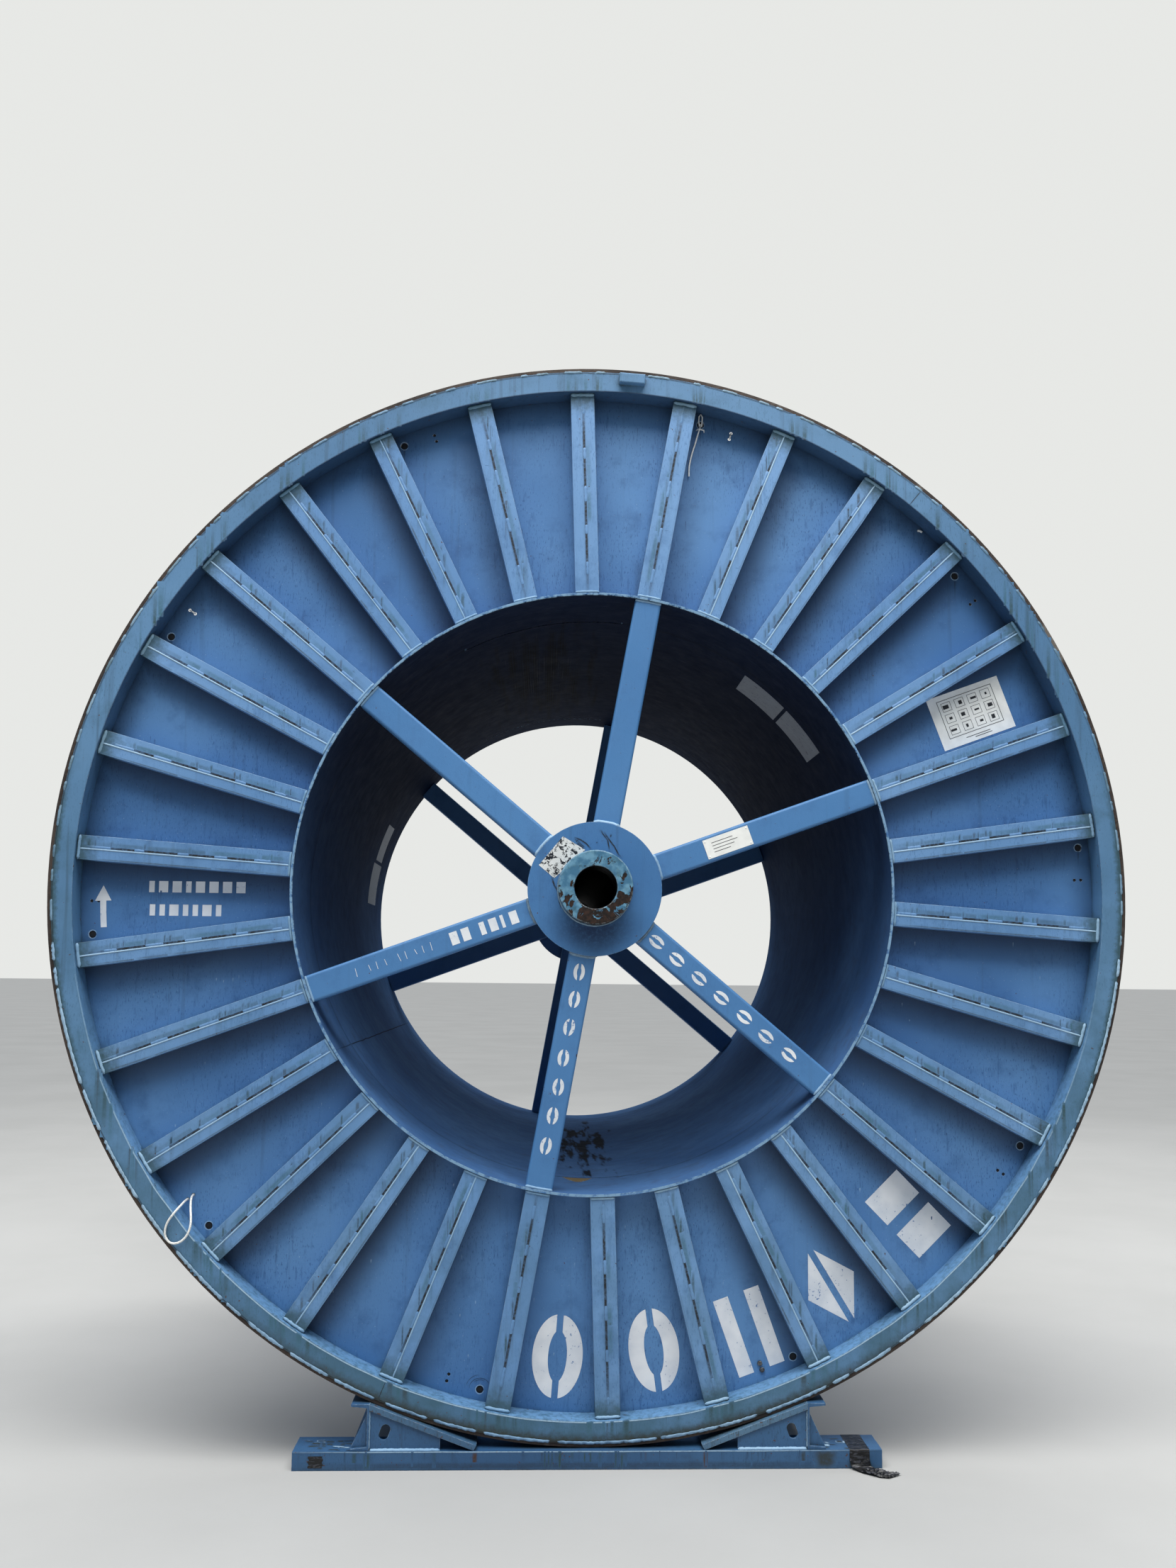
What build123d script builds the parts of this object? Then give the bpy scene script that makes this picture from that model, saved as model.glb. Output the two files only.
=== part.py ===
"""Welded steel cable drum standing on its steel cradle.

The drum's axis lies along Y. The origin is on the ground, under the middle of
the drum. The front flange faces -Y. Angles are counted anticlockwise from +X
as the front flange is seen from in front. Lengths are in millimetres.
"""

import os
from math import cos, pi, radians, sqrt, tan

from build123d import *

os.makedirs("parts", exist_ok=True)

# Fits
weld_gap = 0.3  # root gap where a piece is welded against a curved one
seat_gap = 0.3  # the running band on the ramps it rests on
floor_gap = 3.0  # the running band above the base beams

# Drum as a whole
flange_diameter = 4000.0
drum_width = 2800.0

# Running band, a flat bar rolled round each flange
band_thickness = 15.0
band_width = 100.0
band_setback = 4.0  # behind the face of the rim

# Rim, an angle rolled with its short leg as the face
rim_face_leg = 75.0
rim_deep_leg = 100.0
rim_thickness = 8.0
rim_root = 10.0  # a flat across the inside corner

# Flange sheet
sheet_thickness = 4.0
lashing_hole_count = 10
lashing_hole_diameter = 28.0
lashing_hole_inset = 40.0  # inside the rim's inner wall
lashing_hole_angle = 5.7
tie_hole_diameter = 12.0
tie_hole_inset = 52.0  # the middle of a pair, inside the rim's inner wall
tie_hole_spacing = 25.0
tie_hole_angle = 1.9

# Spokes, each of two channels welded toe to toe
spoke_count = 30
spoke_angle = 8.0
spoke_channel_depth = 80.0
spoke_channel_flange = 45.0
spoke_channel_web = 6.0
spoke_channel_toe = 6.4
spoke_channel_root = 9.6

# Barrel
barrel_diameter = 2250.0
barrel_wall = 10.0
barrel_setback = 12.0

# Hub
arm_count = 6
arm_angle = 20.0
arm_width = 100.0
arm_depth = 80.0
arm_wall = 6.0
arm_corner = 10.0
hub_disc_diameter = 500.0
hub_disc_thickness = 15.0
bush_diameter = 273.0
bush_length = 250.0
bush_reach = 102.0  # ahead of the hub disc
bush_chamfer = 3.0
spindle_bore = 155.0
pipe_diameter = 193.7
pipe_wall = 12.5
pipe_seat_depth = 30.0

# Block welded on the face of the rim, near the top
block_angle = 86.4
block_length = 98.0
block_height = 38.0
block_thickness = 30.0
block_edge_gap = 8.0  # inside the outer edge of the rim's face
block_rounding = 4.0

# Cradle: base beams and side channels are the same rolled channel
cradle_channel_height = 160.0
cradle_channel_flange = 65.0
cradle_channel_web = 7.5
cradle_channel_toe = 7.8
cradle_channel_root = 13.2
base_beam_length = 2100.0
side_channel_half_gauge = 790.0  # to the back of each web
side_channel_setback = 5.0
ramp_angle = 20.5
ramp_thickness = 20.0
ramp_width = 150.0
ramp_foot = 402.0
ramp_setback = 4.0
ramp_web_thickness = 10.0
ramp_web_inner = 531.0
ramp_web_setback = 12.0
slot_width = 33.0
slot_length = 55.0
slot_position = 728.0
slot_height = 63.0
gusset_thickness = 10.0
gusset_setback = 14.0
gusset_top_drop = 20.0

# White cord looped through a pair of tie holes and over the rim
tie_cord_diameter = 8.0
tie_cord_route = [
    (-1456.2, -1295.7, 934.3),
    (-1456.2, -1320.0, 934.3),
    (-1454.0, -1344.0, 922.0),
    (-1448.0, -1370.0, 900.0),
    (-1440.0, -1392.0, 875.0),
    (-1435.0, -1408.0, 850.0),
    (-1440.0, -1412.0, 822.0),
    (-1454.0, -1412.0, 798.0),
    (-1476.0, -1411.0, 782.0),
    (-1503.0, -1411.0, 780.0),
    (-1522.0, -1410.0, 798.0),
    (-1527.0, -1410.0, 825.0),
    (-1518.0, -1411.0, 856.0),
    (-1500.0, -1415.0, 881.0),
    (-1486.0, -1404.0, 900.0),
    (-1480.0, -1374.0, 910.0),
    (-1477.0, -1345.0, 917.0),
    (-1476.0, -1320.0, 919.0),
    (-1476.0, -1295.7, 919.0),
]
tie_cord_knot_length = 44.0
tie_cord_knot_height = 18.0
tie_cord_knot_depth = 15.0

# White strap's tail hanging from a lashing hole
strap_tail_diameter = 6.0
strap_tail_route = [
    (397.0, -1295.7, 3887.0),
    (397.0, -1312.0, 3887.0),
    (393.0, -1318.0, 3872.0),
    (386.0, -1311.0, 3850.0),
    (378.0, -1307.0, 3818.0),
    (366.5, -1305.5, 3783.0),
    (358.0, -1305.0, 3748.0),
    (352.5, -1306.0, 3716.0),
    (353.0, -1307.0, 3685.0),
]
strap_tail_knot_diameter = 36.0
strap_tail_knot_depth = 15.0
knot_chamfer = 5.0
cord_sides = 8  # a plain section in place of a round one

# Levels and radii that follow from those
flange_radius = flange_diameter / 2
face_y = -drum_width / 2
band_inner_radius = flange_radius - band_thickness
rim_inner_radius = band_inner_radius - rim_face_leg
lashing_hole_radius = rim_inner_radius - lashing_hole_inset
tie_hole_radius = rim_inner_radius - tie_hole_inset
sheet_y = face_y + rim_deep_leg
spoke_y = sheet_y - spoke_channel_depth
barrel_radius = barrel_diameter / 2
barrel_inner_radius = barrel_radius - barrel_wall
arm_y = spoke_y
hub_disc_y = arm_y - hub_disc_thickness
bush_radius = bush_diameter / 2
bush_y = hub_disc_y - bush_reach
pipe_radius = pipe_diameter / 2
beam_top = cradle_channel_flange
axis_height = beam_top + floor_gap + flange_radius
band_middle_y = face_y + band_setback + band_width / 2
beam_front_y = band_middle_y - cradle_channel_height / 2
side_channel_top = beam_top + cradle_channel_height
drum_axis = Axis((0, 0, axis_height), (0, 1, 0))
turning_plane = Plane(origin=(0, 0, axis_height), x_dir=(1, 0, 0), z_dir=(0, 0, 1))


def around(angles):
    """Places on the drum's axis, each turned by one of the angles."""
    return [Location((0, 0, axis_height), (0, -angle, 0)) for angle in angles]


def turned(*outline):
    """A ring turned round the drum's axis from an outline of (radius, y)."""
    with BuildPart() as ring:
        with BuildSketch(turning_plane):
            with BuildLine():
                Polyline(*outline, close=True)
            make_face()
        revolve(axis=drum_axis)
    return ring


def rear_of(front):
    """The same piece mirrored to the other end of the drum."""
    with BuildPart() as rear:
        add(front.part)
        mirror(about=Plane.XZ, mode=Mode.REPLACE)
    return rear


def write(piece, name):
    """Label a finished piece and write it to its own file."""
    piece.part.label = name
    export_step(piece.part, f"parts/{name}.step")


def write_pair(front, name):
    """Write a piece of the front flange or cradle and its twin at the rear."""
    write(front, f"front_{name}")
    write(rear_of(front), f"rear_{name}")


def channel_outline(height, flange, web, toe, root):
    """Corners of a rolled channel: its height on x, its flanges up from y = 0."""
    return [
        (0, flange),
        (0, 0),
        (height, 0),
        (height, flange),
        (height - toe, flange),
        (height - root, web),
        (root, web),
        (toe, flange),
    ]


# Rim, its face leg and its deep leg in one rolled angle
rim = turned(
    (rim_inner_radius, face_y),
    (band_inner_radius, face_y),
    (band_inner_radius, face_y + rim_thickness),
    (rim_inner_radius + rim_thickness + rim_root, face_y + rim_thickness),
    (rim_inner_radius + rim_thickness, face_y + rim_thickness + rim_root),
    (rim_inner_radius + rim_thickness, sheet_y),
    (rim_inner_radius, sheet_y),
)
write_pair(rim, "rim")

band_start = face_y + band_setback
running_band = turned(
    (band_inner_radius, band_start),
    (flange_radius, band_start),
    (flange_radius, band_start + band_width),
    (band_inner_radius, band_start + band_width),
)
write_pair(running_band, "running_band")

# Flange sheet with its lashing holes and tie holes
sheet_plane = Plane(origin=(0, sheet_y, axis_height), x_dir=(1, 0, 0), z_dir=(0, -1, 0))
with BuildPart() as flange_sheet:
    with BuildSketch(sheet_plane):
        Circle(band_inner_radius)
        Circle(barrel_radius + weld_gap, mode=Mode.SUBTRACT)
        with PolarLocations(lashing_hole_radius, lashing_hole_count, lashing_hole_angle):
            Circle(lashing_hole_diameter / 2, mode=Mode.SUBTRACT)
        for radius in (
            tie_hole_radius - tie_hole_spacing / 2,
            tie_hole_radius + tie_hole_spacing / 2,
        ):
            with PolarLocations(radius, lashing_hole_count, tie_hole_angle):
                Circle(tie_hole_diameter / 2, mode=Mode.SUBTRACT)
    extrude(amount=-sheet_thickness)
write_pair(flange_sheet, "flange_sheet")

# Spokes: one channel on each side of the seam
spoke_start = barrel_radius + weld_gap
spoke_end = sqrt(rim_inner_radius**2 - spoke_channel_flange**2) - weld_gap
spoke_turns = [spoke_angle + step * 360 / spoke_count for step in range(spoke_count)]
for side, name in ((1, "upper_spoke_channels"), (-1, "lower_spoke_channels")):
    outline = channel_outline(
        spoke_channel_depth,
        spoke_channel_flange,
        spoke_channel_web,
        spoke_channel_toe,
        spoke_channel_root,
    )
    corners = [(spoke_y + x, side * (spoke_channel_flange - y)) for x, y in outline]
    with BuildPart() as spoke_channel:
        with BuildSketch(Plane.YZ.offset(spoke_start)):
            with BuildLine():
                Polyline(*corners, close=True)
            make_face()
        extrude(amount=spoke_end - spoke_start)
    with BuildPart() as spoke_channels:
        with Locations(*around(spoke_turns)):
            add(spoke_channel.part)
    write_pair(spoke_channels, name)

# Barrel, rolled plate through both flanges
barrel_end = drum_width / 2 - barrel_setback
barrel = turned(
    (barrel_inner_radius, -barrel_end),
    (barrel_radius, -barrel_end),
    (barrel_radius, barrel_end),
    (barrel_inner_radius, barrel_end),
)
write(barrel, "barrel")

# Hub arms, square tube coped on to the bush
arm_end = sqrt(barrel_inner_radius**2 - (arm_width / 2) ** 2) - weld_gap
arm_start = bush_radius / 2
arm_turns = [arm_angle + step * 360 / arm_count for step in range(arm_count)]
arm_plane = Plane(origin=(arm_start, arm_y + arm_depth / 2, 0), x_dir=(0, 1, 0), z_dir=(1, 0, 0))
with BuildPart() as hub_arm:
    with BuildSketch(arm_plane):
        RectangleRounded(arm_depth, arm_width, arm_corner)
        inside = (arm_depth - 2 * arm_wall, arm_width - 2 * arm_wall)
        Rectangle(*inside, mode=Mode.SUBTRACT)
    extrude(amount=arm_end - arm_start)
    with Locations((0, arm_y + arm_depth / 2, 0)):
        Cylinder(
            bush_radius + weld_gap,
            2 * arm_depth,
            rotation=(90, 0, 0),
            mode=Mode.SUBTRACT,
        )
with BuildPart() as hub_arms:
    with Locations(*around(arm_turns)):
        add(hub_arm.part)
write_pair(hub_arms, "hub_arms")

hub_disc = turned(
    (bush_radius + weld_gap, hub_disc_y),
    (hub_disc_diameter / 2, hub_disc_y),
    (hub_disc_diameter / 2, arm_y),
    (bush_radius + weld_gap, arm_y),
)
write_pair(hub_disc, "hub_disc")

# Bush with the spindle's bore, and a seat for the pipe at its inner end
bush_end = bush_y + bush_length
pipe_seat_y = bush_end - pipe_seat_depth
pipe_seat_radius = pipe_radius + weld_gap
hub_bush = turned(
    (spindle_bore / 2 + bush_chamfer, bush_y),
    (bush_radius - bush_chamfer, bush_y),
    (bush_radius, bush_y + bush_chamfer),
    (bush_radius, bush_end),
    (pipe_seat_radius, bush_end),
    (pipe_seat_radius, pipe_seat_y),
    (spindle_bore / 2, pipe_seat_y),
    (spindle_bore / 2, bush_y + bush_chamfer),
)
write_pair(hub_bush, "hub_bush")

spindle_pipe = turned(
    (pipe_radius - pipe_wall, pipe_seat_y),
    (pipe_radius, pipe_seat_y),
    (pipe_radius, -pipe_seat_y),
    (pipe_radius - pipe_wall, -pipe_seat_y),
)
write(spindle_pipe, "spindle_pipe")

# Block on the front rim only
block_middle = sqrt(
    (band_inner_radius - block_edge_gap) ** 2 - (block_length / 2) ** 2
) - block_height / 2
with BuildPart() as rim_block:
    with Locations(*around([block_angle])):
        with Locations((block_middle, face_y - block_thickness / 2, 0)):
            Box(block_height, block_thickness, block_length)
    front_edges = edges().group_by(Axis.Y)[0]
    fillet(front_edges, block_rounding)
write(rim_block, "rim_block")

# Base beams, web up across the ends of the cradle
cradle_outline = channel_outline(
    cradle_channel_height,
    cradle_channel_flange,
    cradle_channel_web,
    cradle_channel_toe,
    cradle_channel_root,
)
with BuildPart() as base_beam:
    with BuildSketch(Plane.YZ):
        with BuildLine():
            Polyline(
                *[(beam_front_y + x, beam_top - y) for x, y in cradle_outline],
                close=True,
            )
        make_face()
    extrude(amount=base_beam_length / 2, both=True)
write_pair(base_beam, "base_beam")

# Side channels along the drum, flanges outward
side_channel_end = -(beam_front_y + side_channel_setback)
for side, name in ((-1, "left_side_channel"), (1, "right_side_channel")):
    corners = [
        (side * (side_channel_half_gauge - cradle_channel_web + y), beam_top + x)
        for x, y in cradle_outline
    ]
    with BuildPart() as side_channel:
        with BuildSketch(Plane.XZ):
            with BuildLine():
                Polyline(*corners, close=True)
            make_face()
        extrude(amount=side_channel_end, both=True)
    write(side_channel, name)


def ramp_line(depth, x):
    """Height at x of the ramp's surface, or of a line a depth under it."""
    reach = flange_radius + seat_gap + depth
    return axis_height - reach / cos(radians(ramp_angle)) + x * tan(radians(ramp_angle))


# Ramps, flat bar that the running band rests on
web_inner_face = side_channel_half_gauge - cradle_channel_web
foot_reach = flange_radius + seat_gap + ramp_thickness
foot_drop = foot_reach / cos(radians(ramp_angle)) - (axis_height - beam_top)
ramp_foot_under = foot_drop / tan(radians(ramp_angle))
ramp_front_y = beam_front_y + ramp_setback
with BuildPart() as ramps:
    with BuildSketch(Plane.XZ.offset(-ramp_front_y)):
        with BuildLine():
            Polyline(
                (web_inner_face, ramp_line(0, web_inner_face)),
                (ramp_foot, ramp_line(0, ramp_foot)),
                (ramp_foot_under, beam_top),
                (web_inner_face, ramp_line(ramp_thickness, web_inner_face)),
                close=True,
            )
        make_face()
        mirror(about=Plane.YZ)
    extrude(amount=-ramp_width)
write_pair(ramps, "ramps")

# Webs under the ramps, each with a slot square to its ramp
ramp_web_y = beam_front_y + ramp_web_setback
slot_center = (slot_position, beam_top + slot_height)
with BuildPart() as ramp_webs:
    with BuildSketch(Plane.XZ.offset(-ramp_web_y)):
        with BuildLine():
            Polyline(
                (web_inner_face, beam_top),
                (web_inner_face, ramp_line(ramp_thickness, web_inner_face)),
                (ramp_web_inner, ramp_line(ramp_thickness, ramp_web_inner)),
                (ramp_web_inner, beam_top),
                close=True,
            )
        make_face()
        with Locations(Location(slot_center, 90 + ramp_angle)):
            SlotOverall(slot_length, slot_width, mode=Mode.SUBTRACT)
        mirror(about=Plane.YZ)
    extrude(amount=-ramp_web_thickness)
write_pair(ramp_webs, "ramp_webs")

# Gussets inside the side channels
gusset_y = beam_front_y + side_channel_setback + gusset_setback
flange_tip = side_channel_half_gauge - cradle_channel_web + cradle_channel_flange
gusset_top = side_channel_top - cradle_channel_root - gusset_top_drop
with BuildPart() as gussets:
    with BuildSketch(Plane.XZ.offset(-gusset_y)):
        with BuildLine():
            Polyline(
                (side_channel_half_gauge, beam_top + cradle_channel_root),
                (side_channel_half_gauge, gusset_top),
                (flange_tip, beam_top + cradle_channel_toe),
                close=True,
            )
        make_face()
        mirror(about=Plane.YZ)
    extrude(amount=-gusset_thickness)
write_pair(gussets, "gussets")


def cord(route, diameter):
    """A cord's tube, its corners rounded as far as their shorter runs allow."""
    points = [Vector(point) for point in route]
    radii = []
    for before, corner, after in zip(points, points[1:], points[2:]):
        turn = (corner - before).get_angle(after - corner)
        shorter = min((corner - before).length, (after - corner).length)
        radii.append(0.45 * shorter / tan(radians(turn / 2)))
    print("corner radii of a cord:", [round(radius) for radius in radii])
    with BuildPart() as tube:
        with BuildLine() as line:
            FilletPolyline(*points, radius=radii)
        with BuildSketch(Plane(origin=points[0], z_dir=points[1] - points[0])) as section:
            RegularPolygon(diameter / 2, cord_sides)
        sweep(path=line.line)
    length = sum(edge.length for edge in line.edges())
    from_volume = tube.part.volume / section.sketch.area
    print("cord length", round(length), "from its volume", round(from_volume))
    return tube


write(cord(tie_cord_route, tie_cord_diameter), "tie_cord")
write(cord(strap_tail_route, strap_tail_diameter), "strap_tail")

# Knots behind the flange sheet, flat against the ends of their cords
first_end = Vector(tie_cord_route[0])
last_end = Vector(tie_cord_route[-1])
knot_plane = Plane((first_end + last_end) / 2, x_dir=first_end - last_end, z_dir=(0, 1, 0))
with BuildPart() as tie_cord_knot:
    with BuildSketch(knot_plane):
        Rectangle(tie_cord_knot_length, tie_cord_knot_height)
    extrude(amount=tie_cord_knot_depth)
    chamfer(edges().group_by(Axis.Y)[-1], knot_chamfer)
write(tie_cord_knot, "tie_cord_knot")

strap_end = Vector(strap_tail_route[0])
with BuildPart() as strap_tail_knot:
    with BuildSketch(Plane(strap_end, z_dir=(0, 1, 0))):
        RegularPolygon(strap_tail_knot_diameter / 2, cord_sides)
    extrude(amount=strap_tail_knot_depth)
    chamfer(edges().group_by(Axis.Y)[-1], knot_chamfer)
write(strap_tail_knot, "strap_tail_knot")
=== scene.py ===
"""Looks of the welded steel cable drum and its cradle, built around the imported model.

Metres, +Z up. The drum's axis lies along Y and the front flange faces -Y. Angles
are counted anticlockwise from +X as the front flange is seen from in front.
"""

import random
from math import atan2, ceil, cos, degrees, pi, radians, sin, sqrt

import bpy
from mathutils import Matrix, Vector, noise


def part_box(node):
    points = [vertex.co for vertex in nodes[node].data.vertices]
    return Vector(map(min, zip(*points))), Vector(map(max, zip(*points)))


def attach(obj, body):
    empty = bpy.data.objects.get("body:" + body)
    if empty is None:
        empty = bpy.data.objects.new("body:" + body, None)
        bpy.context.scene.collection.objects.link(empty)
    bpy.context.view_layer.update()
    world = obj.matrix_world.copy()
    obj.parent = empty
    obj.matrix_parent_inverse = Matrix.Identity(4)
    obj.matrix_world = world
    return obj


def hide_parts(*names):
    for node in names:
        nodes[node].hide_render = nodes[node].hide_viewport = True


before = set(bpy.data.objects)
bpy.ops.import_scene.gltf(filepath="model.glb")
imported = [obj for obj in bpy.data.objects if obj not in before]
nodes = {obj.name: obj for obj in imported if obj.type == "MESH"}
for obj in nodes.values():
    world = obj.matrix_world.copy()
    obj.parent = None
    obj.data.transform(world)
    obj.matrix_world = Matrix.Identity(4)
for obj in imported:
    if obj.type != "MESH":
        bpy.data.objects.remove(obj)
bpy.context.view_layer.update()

# Levels and radii read from the frame
rim_low, rim_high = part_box("front_rim")
band_low, band_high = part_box("front_running_band")
beam_low, beam_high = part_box("front_base_beam")
AXIS_Z = (band_low.z + band_high.z) / 2
RIM_R = (rim_high.x - rim_low.x) / 2
FACE_Y = rim_low.y
BAND_Y = band_low.y
SHEET_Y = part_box("front_flange_sheet")[0].y
SPOKE_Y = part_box("front_upper_spoke_channels")[0].y
ARM_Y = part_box("front_hub_arms")[0].y
DISC_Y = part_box("front_hub_disc")[0].y
BARREL_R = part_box("barrel")[1].x
BARREL_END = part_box("barrel")[1].y
DISC_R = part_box("front_hub_disc")[1].x
BUSH_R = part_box("front_hub_bush")[1].x
BEAM_TOP = beam_high.z
BEAM_Y = beam_low.y
BEAM_END = beam_high.x

# Sizes that the frame doesn't give by a box
RIM_FACE = 0.075
RIM_IN_R = RIM_R - RIM_FACE
BARREL_WALL = 0.010
BARREL_IN_R = BARREL_R - BARREL_WALL
BORE_R = 0.0775
SPOKE_HALF = 0.045
SPOKE_ANGLES = [8.0 + 12.0 * step for step in range(30)]
ARM_ANGLES = [20.0 + 60.0 * step for step in range(6)]
ARM_HALF = 0.050
LASHING_R = 1.870
LASHING_HOLE = 0.014
LASHING_ANGLES = [5.7 + 36.0 * step for step in range(10)]
TIE_RADII = (1.8455, 1.8705)
TIE_ANGLES = [1.9 + 36.0 * step for step in range(10)]
TIE_HOLE = 0.006
SKIN = 0.001

FRONT = Vector((0, -1, 0))
UP = Vector((0, 0, 1))
DOWN = Vector((0, 0, -1))

dice = random.Random(4000)


def polar(radius, angle, y):
    """A point at that radius and angle round the drum's axis."""
    turn = radians(angle)
    return Vector((radius * cos(turn), y, AXIS_Z + radius * sin(turn)))


def outward(angle):
    """Unit vector away from the drum's axis."""
    turn = radians(angle)
    return Vector((cos(turn), 0, sin(turn)))


def onward(angle):
    """Unit vector the way that the angle grows."""
    turn = radians(angle)
    return Vector((-sin(turn), 0, cos(turn)))


def srgb(red, green, blue):
    """Linear colour of a screen colour given from 0 to 255."""
    channels = []
    for value in (red, green, blue):
        share = value / 255
        channels.append(share / 12.92 if share <= 0.04045 else ((share + 0.055) / 1.055) ** 2.4)
    return (*channels, 1.0)


# A dirty green for grime, also used as painted shade in corners
GRIME_AND_SHADE = srgb(30, 42, 38)
GREEN = srgb(34, 62, 56)
DARK_GREEN = srgb(20, 40, 38)
BROWN_GREEN = srgb(40, 44, 30)
TEAL = srgb(48, 92, 104)
BROWN = srgb(64, 40, 22)
RUST = srgb(74, 46, 30)
DARK = srgb(10, 16, 20)
NAVY = srgb(22, 46, 84)
WORN = srgb(168, 190, 210)
PALE = srgb(176, 206, 226)


def operator(kind):
    """A value's method that adds one math node."""
    return lambda self, other=0.0: self.shader.math(kind, self, other)


class Value:
    """A number or colour worked out by a shader's nodes, open to plain arithmetic."""

    __add__ = operator("ADD")
    __sub__ = operator("SUBTRACT")
    __mul__ = operator("MULTIPLY")
    __truediv__ = operator("DIVIDE")
    __abs__ = operator("ABSOLUTE")
    above = operator("GREATER_THAN")
    below = operator("LESS_THAN")

    def __init__(self, shader, socket):
        self.shader, self.socket = shader, socket

    def __rsub__(self, other):
        return self.shader.math("SUBTRACT", other, self)

    def between(self, low, high, most=1.0):
        """0 below low, most above high and smooth between them."""
        limits = {"Value": self, "From Min": low, "From Max": high, "To Max": most}
        return self.shader.value("ShaderNodeMapRange", 0, limits, interpolation_type="SMOOTHSTEP")


class Shader:
    """A material with one Principled surface, whose colour is laid coat by coat."""

    def __init__(self, name, metallic=0.0, specular=0.5):
        self.material = bpy.data.materials.new(name)
        self.material.use_nodes = True
        self.tree = self.material.node_tree
        self.tree.nodes.clear()
        output = self.add("ShaderNodeOutputMaterial")
        gloss = {"Metallic": metallic, "Specular IOR Level": specular}
        self.surface = self.add("ShaderNodeBsdfPrincipled", gloss)
        self.tree.links.new(self.surface.outputs[0], output.inputs["Surface"])
        self.place = self.value("ShaderNodeTexCoord", "Object")
        self.colour = None

    def feed(self, node, inputs):
        """Link or set a node's inputs. One that is given None is left alone."""
        for key, value in inputs.items():
            if isinstance(value, Value):
                self.tree.links.new(value.socket, node.inputs[key])
            elif value is not None:
                node.inputs[key].default_value = value

    def add(self, kind, inputs=None, **settings):
        node = self.tree.nodes.new(kind)
        for name, value in settings.items():
            setattr(node, name, value)
        self.feed(node, inputs or {})
        return node

    def value(self, kind, output=0, inputs=None, **settings):
        """One output of a new node."""
        return Value(self, self.add(kind, inputs, **settings).outputs[output])

    def math(self, operation, first, second=0.0):
        return self.value("ShaderNodeMath", 0, {0: first, 1: second}, operation=operation)

    def mix(self, share, first, second):
        return self.value("ShaderNodeMix", 2, {0: share, 6: first, 7: second}, data_type="RGBA")

    def base(self, share, first, second):
        """The lowest coat, between two colours."""
        self.colour = self.mix(share, first, second)

    def coat(self, share, tint):
        """One more coat over the colour so far."""
        self.colour = self.mix(share, self.colour, tint)

    def stretched(self, scale, shift=(0.0, 0.0, 0.0)):
        """The place, scaled apart for each axis."""
        return self.value("ShaderNodeMapping", 0, {"Vector": self.place, "Scale": scale, "Location": shift})

    def noise(self, scale, detail=3.0, roughness=0.5, place=None, distortion=0.0):
        inputs = {"Scale": scale, "Detail": detail, "Roughness": roughness, "Distortion": distortion}
        return self.value("ShaderNodeTexNoise", "Fac", {"Vector": place or self.place, **inputs})

    def stain(self):
        """The strength and colour that a mesh's points carry."""
        strength = self.value("ShaderNodeAttribute", "Fac", attribute_name="stain")
        return strength, self.value("ShaderNodeAttribute", "Color", attribute_name="stain_tint")

    def axes(self):
        """The place's x, y and z."""
        node = self.add("ShaderNodeSeparateXYZ", {0: self.place})
        return [Value(self, socket) for socket in node.outputs]

    def radius(self):
        """Distance from the drum's axis."""
        across, _, height = self.axes()
        level = height - AXIS_Z
        return self.math("SQRT", across * across + level * level)

    def rings(self, fine):
        """Noise that runs in rings round the drum's axis."""
        across, _, height = self.axes()
        place = {0: self.radius() * fine, 1: across * 1.3, 2: height * 1.3}
        return self.noise(1.0, 4.0, 0.65, self.value("ShaderNodeCombineXYZ", 0, place))

    def edges(self, radius=0.003):
        """How much the surface turns within that radius, for wear, and the rounded normal."""
        rounded = self.value("ShaderNodeBevel", 0, {"Radius": radius}, samples=4)
        flat = self.value("ShaderNodeNewGeometry", "Normal")
        dot = self.value("ShaderNodeVectorMath", "Value", {0: rounded, 1: flat}, operation="DOT_PRODUCT")
        return 1.0 - dot, rounded

    def crevice(self, distance):
        """Near 1 where other faces stand close, near 0 in the open."""
        return 1.0 - self.value("ShaderNodeAmbientOcclusion", "AO", {"Distance": distance}, samples=4)

    def finish(self, roughness, height, depth, normal=None):
        """Give the surface its colour, its roughness and its relief."""
        relief = self.value("ShaderNodeBump", 0, {"Distance": depth, "Height": height, "Normal": normal})
        self.feed(self.surface, {"Base Color": self.colour, "Roughness": roughness, "Normal": relief})
        return self.material


def bay_shade(shader):
    """Painted shade on the sheets' outer faces, under each spoke and under the rim, from 0 to 1."""
    across, depth, height = shader.axes()
    level = height - AXIS_Z
    radius = shader.radius()
    turn = shader.math("ARCTAN2", level, across) / (2 * pi)
    share = shader.math("FRACT", (turn - SPOKE_ANGLES[0] / 360) * len(SPOKE_ANGLES))
    right = across.above(0.0)
    to_spoke = (1.0 - share) * right + share * (1.0 - right)
    gap = to_spoke * radius * (2 * pi / len(SPOKE_ANGLES))
    under_spoke = gap.between(0.180, 0.040) * (abs(across) / radius).between(0.02, 0.6)
    under_rim = radius.between(1.79, 1.92) * (level / radius).between(-0.6, 0.5)
    both = shader.math("MAXIMUM", under_spoke, under_rim * 0.9)
    return both * abs(depth).above(-SHEET_Y - 0.003)


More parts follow.
